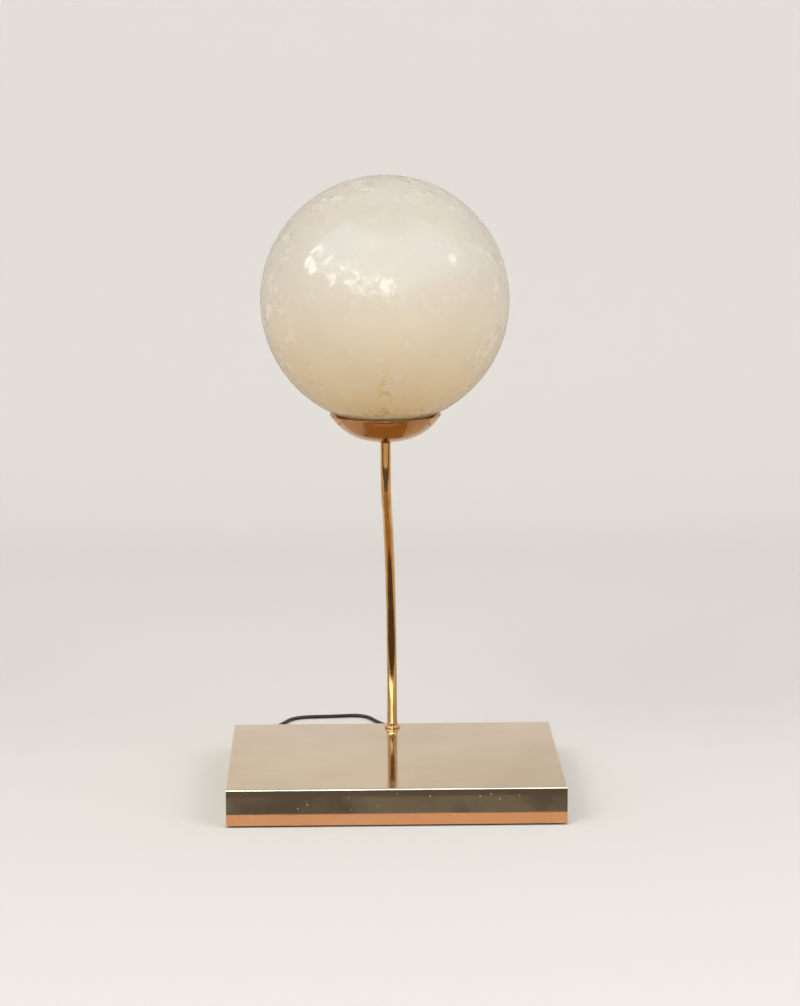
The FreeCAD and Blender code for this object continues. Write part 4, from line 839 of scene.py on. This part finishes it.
def roughen(ball):
    waves = bpy.data.textures.new("blownWaves", "CLOUDS")
    waves.noise_scale = skin["waveSize"]
    scabs = bpy.data.textures.new("chippedSkin", "VORONOI")
    scabs.noise_scale = skin["scabSize"]
    scabs.noise_intensity = skin["scabContrast"]
    pick(ball)
    bpy.ops.object.mode_set(mode="EDIT")
    selectWhere(ball, "verts", lambda v: v.co.z > level["globe"] - skin["below"])
    ball.vertex_groups.new(name="skin")
    bpy.ops.object.vertex_group_assign()
    bpy.ops.object.mode_set(mode="OBJECT")
    for texture, strength, middle in ((waves, skin["wave"], 0.5), (scabs, skin["scab"], 0.4)):
        applyModifier(ball, "DISPLACE", texture=texture, texture_coords="LOCAL", strength=strength,
                      mid_level=middle, vertex_group="skin")


# The two cut balls share one flat ring at the neck's end. The inner face is clear from just above its lip
def makeGlobe():
    g = glass
    inside = cutBall("globeInside", g["radius"] - g["wall"], g["innerRings"], g["neck"] - g["wall"])
    ball = cutBall("glassGlobe", g["radius"], g["rings"], g["neck"])
    roughen(ball)
    deselectAll()
    inside.select_set(True)
    ball.select_set(True)
    bpy.context.view_layer.objects.active = ball
    bpy.ops.object.join()
    bpy.ops.object.mode_set(mode="EDIT")
    selectWhere(ball, "edges", lambda e: e.is_boundary)
    bpy.ops.mesh.extrude_edges_move(TRANSFORM_OT_translate={"value": (0, 0, 0)})
    bpy.ops.transform.resize(value=(1, 1, 0), center_override=(*head, g["bottom"]))
    bpy.ops.mesh.fill(use_beauty=True)
    bpy.ops.mesh.select_all(action="SELECT")
    bpy.ops.mesh.normals_make_consistent(inside=False)
    bpy.ops.object.mode_set(mode="OBJECT")
    finishPiece(ball, "globe", lustreMaterial(), ["glass_globe"], angle=60)
    ball.data.materials.append(clearFaceMaterial())
    skinFrom = g["radius"] - g["wall"] * 0.6
    middle = Vector((*head, level["globe"]))
    for face in ball.data.polygons:
        isInner = (face.center - middle).length < skinFrom and face.center.z > g["bottom"] + g["lip"]
        face.material_index = 1 if isInner else 0
    return ball


makeGlobe()
print("globe made")


# Small hardware, fittings and wiring

# Plated or plain metal: its own colour clouded by handling, fine cast or turned grain, duller where touched
def metalMaterial(name, light, dark, rough=(0.15, 0.35), grain=0.8, cloud=12.0):
    return cloudedMaterial(name, light, dark, tone=(cloud, 5, 0.35, 0.68), gloss=(cloud / 3, 4, 0.35, 0.7),
                           rough=rough, grain=(grain, 3), depth=0.00001, Metallic=1.0)


# Moulded plastic, rubber or paint: an even colour with faint dust, a fine mould texture and uneven gloss
def mouldedMaterial(name, colour, dust, rough=(0.35, 0.5), grain=0.5, depth=0.00003):
    return cloudedMaterial(name, colour, dust, tone=(16, 5, 0.42, 0.75), gloss=(7, 4, 0.3, 0.7), rough=rough,
                           grain=(grain, 2), depth=depth, IOR=1.5)


# Lamp bulb glass: thin clear glass frosted inside, milky and soft
def frostedMaterial():
    return cloudedMaterial("frostedLampGlass", "#f7f4ec", "#efebe0", tone=(30, 3, 0.35, 0.7),
                           gloss=(3, 3, 0.3, 0.7), rough=(0.38, 0.5), grain=(0.7, 3), depth=0.00002,
                           IOR=1.5, Transmission_Weight=0.75, Coat_Weight=0.6, Coat_Roughness=0.02)


# Glazed steatite: white body under a clear glaze, a touch creamy where the glaze pools
def porcelainMaterial():
    return cloudedMaterial("glazedSteatite", "#efece4", "#e4ddca", tone=(8, 4, 0.35, 0.7),
                           gloss=(4, 4, 0.35, 0.7), rough=(0.2, 0.34), grain=(2.5, 2), depth=0.00003,
                           IOR=1.55, Coat_Weight=0.8, Coat_Roughness=0.05, Subsurface_Weight=0.1,
                           Subsurface_Scale=0.002)


holderBrass = metalMaterial("pressedHolderBrass", "#e6bd72", "#c99a54", (0.12, 0.3))
zincSteel = metalMaterial("zincPlatedSteel", "#c9c9c4", "#a9aaa6", (0.25, 0.45), 0.6, 6.0)
powderPaint = mouldedMaterial("blackPowderPaint", "#171615", "#24221f", (0.5, 0.7), 0.7, 0.00005)
footRubber = mouldedMaterial("blackFootRubber", "#161514", "#2a2724", (0.75, 0.9), 0.8)
capAluminium = metalMaterial("rolledLampCapAluminium", "#d4d4d2", "#b9b8b5", (0.2, 0.4))
vitrite = mouldedMaterial("blackVitrite", "#0d0d10", "#18181b", (0.08, 0.16))
wireSheath = mouldedMaterial("whiteWireSheath", "#dcdad2", "#c6c1b4", (0.4, 0.5))
nylonBlock = mouldedMaterial("naturalNylonBlock", "#dfdbcb", "#cdc7b2", (0.35, 0.5))
nylonTie = mouldedMaterial("blackNylonTie", "#121212", "#242321", (0.3, 0.45))
switchShell = mouldedMaterial("blackSwitchShell", "#111110", "#1f1e1c", (0.22, 0.38), 0.6)
plugMoulding = mouldedMaterial("blackPlugMoulding", "#131312", "#232220", (0.38, 0.52), 0.6)
pinNickel = metalMaterial("nickelPlatedPins", "#d8d4cb", "#bfb9ad", (0.1, 0.25), 0.5, 5.0)

# Each slot's material and the solids that wear it
hardware = [
    ("cup_brass", cupBrass, ["gallery_screw_1", "gallery_screw_2", "gallery_screw_3", "gallery_bushes"]),
    ("cover_steel", powderPaint, ["base_cover"]),
    ("foot_rubber", footRubber, ["base_feet", "globe_gasket"]),
    ("zinc_steel", zincSteel, ["cover_lugs", "cover_screws", "ballast_plate", "ballast_screws", "stem_washer",
                               "stem_lock_washer", "stem_nut", "gallery_washer", "gallery_nut"]),
    ("holder_brass", holderBrass, ["holder_cap", "holder_shell", "holder_screw_shell", "holder_contact"]),
    ("holder_ceramic", porcelainMaterial(), ["holder_insert"]),
    ("lamp_glass", frostedMaterial(), ["bulb_glass"]),
    ("lamp_cap_aluminium", capAluminium, ["bulb_cap"]),
    ("lamp_contact_glass", vitrite, ["bulb_contact"]),
    ("cable_sheath", wireSheath, ["inner_cable"]),
    ("terminal_plastic", nylonBlock, ["terminal_block"]),
    ("tie_plastic", nylonTie, ["cord_tie"]),
    ("switch_plastic", switchShell, ["switch_base", "switch_cover", "switch_rocker"]),
    ("plug_plastic", plugMoulding, ["plug_body"]),
    ("pin_nickel", pinNickel, ["plug_pins"]),
    ("zinc_steel", zincSteel, ["terminal_screws", "switch_pin", "switch_screws"]),
    ("holder_brass", holderBrass, ["switch_contacts"]),
    ("cord_sheath", flexCord.data.materials[0], ["cord_inside"]),
]
for slotName, material, nodes in hardware:
    for node in nodes:
        dressNode(node, material)
print("hardware dressed")


# Cord bush in the back wall, with a ribbed tapering sleeve

bush = {"x": 0.1, "backY": 0.133, "z": 0.01, "bore": 0.0021, "length": 0.022, "flange": 0.007,
        "thick": 0.002, "root": 0.0044, "tip": 0.0029, "neck": 0.0043, "inside": -0.0014,
        "innerFlange": 0.0056, "clear": 0.00005, "bevel": 0.0006, "edge": 0.0004, "plainEnd": 0.003,
        "endEdge": 0.0003, "endLip": 0.0001, "ribs": 6, "groove": 0.0005}


def makeBush():
    b = bush
    back = b["inside"] - b["thick"]
    profile = [(b["bore"], back), (b["innerFlange"] - b["edge"], back), (b["innerFlange"], b["inside"]),
               (b["neck"], b["inside"]), (b["neck"], b["clear"]), (b["flange"], b["clear"]),
               (b["flange"], b["thick"] - b["bevel"]), (b["flange"] - b["bevel"], b["thick"])]
    start, end = b["thick"] + b["edge"], b["length"] - b["plainEnd"]
    pitch = (end - start) / b["ribs"]
    ribShape = ((0.0, 0.0), (0.62, 0.0), (0.68, b["groove"]), (0.94, b["groove"]))  # share of a rib, inset
    for i in range(b["ribs"]):
        for along, inset in ribShape:
            z = start + pitch * (i + along)
            profile.append((b["root"] + (b["tip"] - b["root"]) * z / b["length"] - inset, z))
    profile += [(b["tip"] + b["endLip"], end), (b["tip"], b["length"] - b["edge"]),
                (b["tip"] - b["endEdge"], b["length"]), (b["bore"], b["length"])]
    piece = turnProfile("cordBush", profile, (0, 0), 48)
    place = Matrix.Translation((b["x"], b["backY"], b["z"]))
    piece.data.transform(place @ Matrix.Rotation(math.radians(-90), 4, "X"))
    rubber = mouldedMaterial("blackMouldedRubber", "#121110", "#262320", (0.5, 0.7), 0.6)
    return finishPiece(piece, "lamp", rubber, ["strain_relief"], angle=40)


makeBush()
print("bush made")
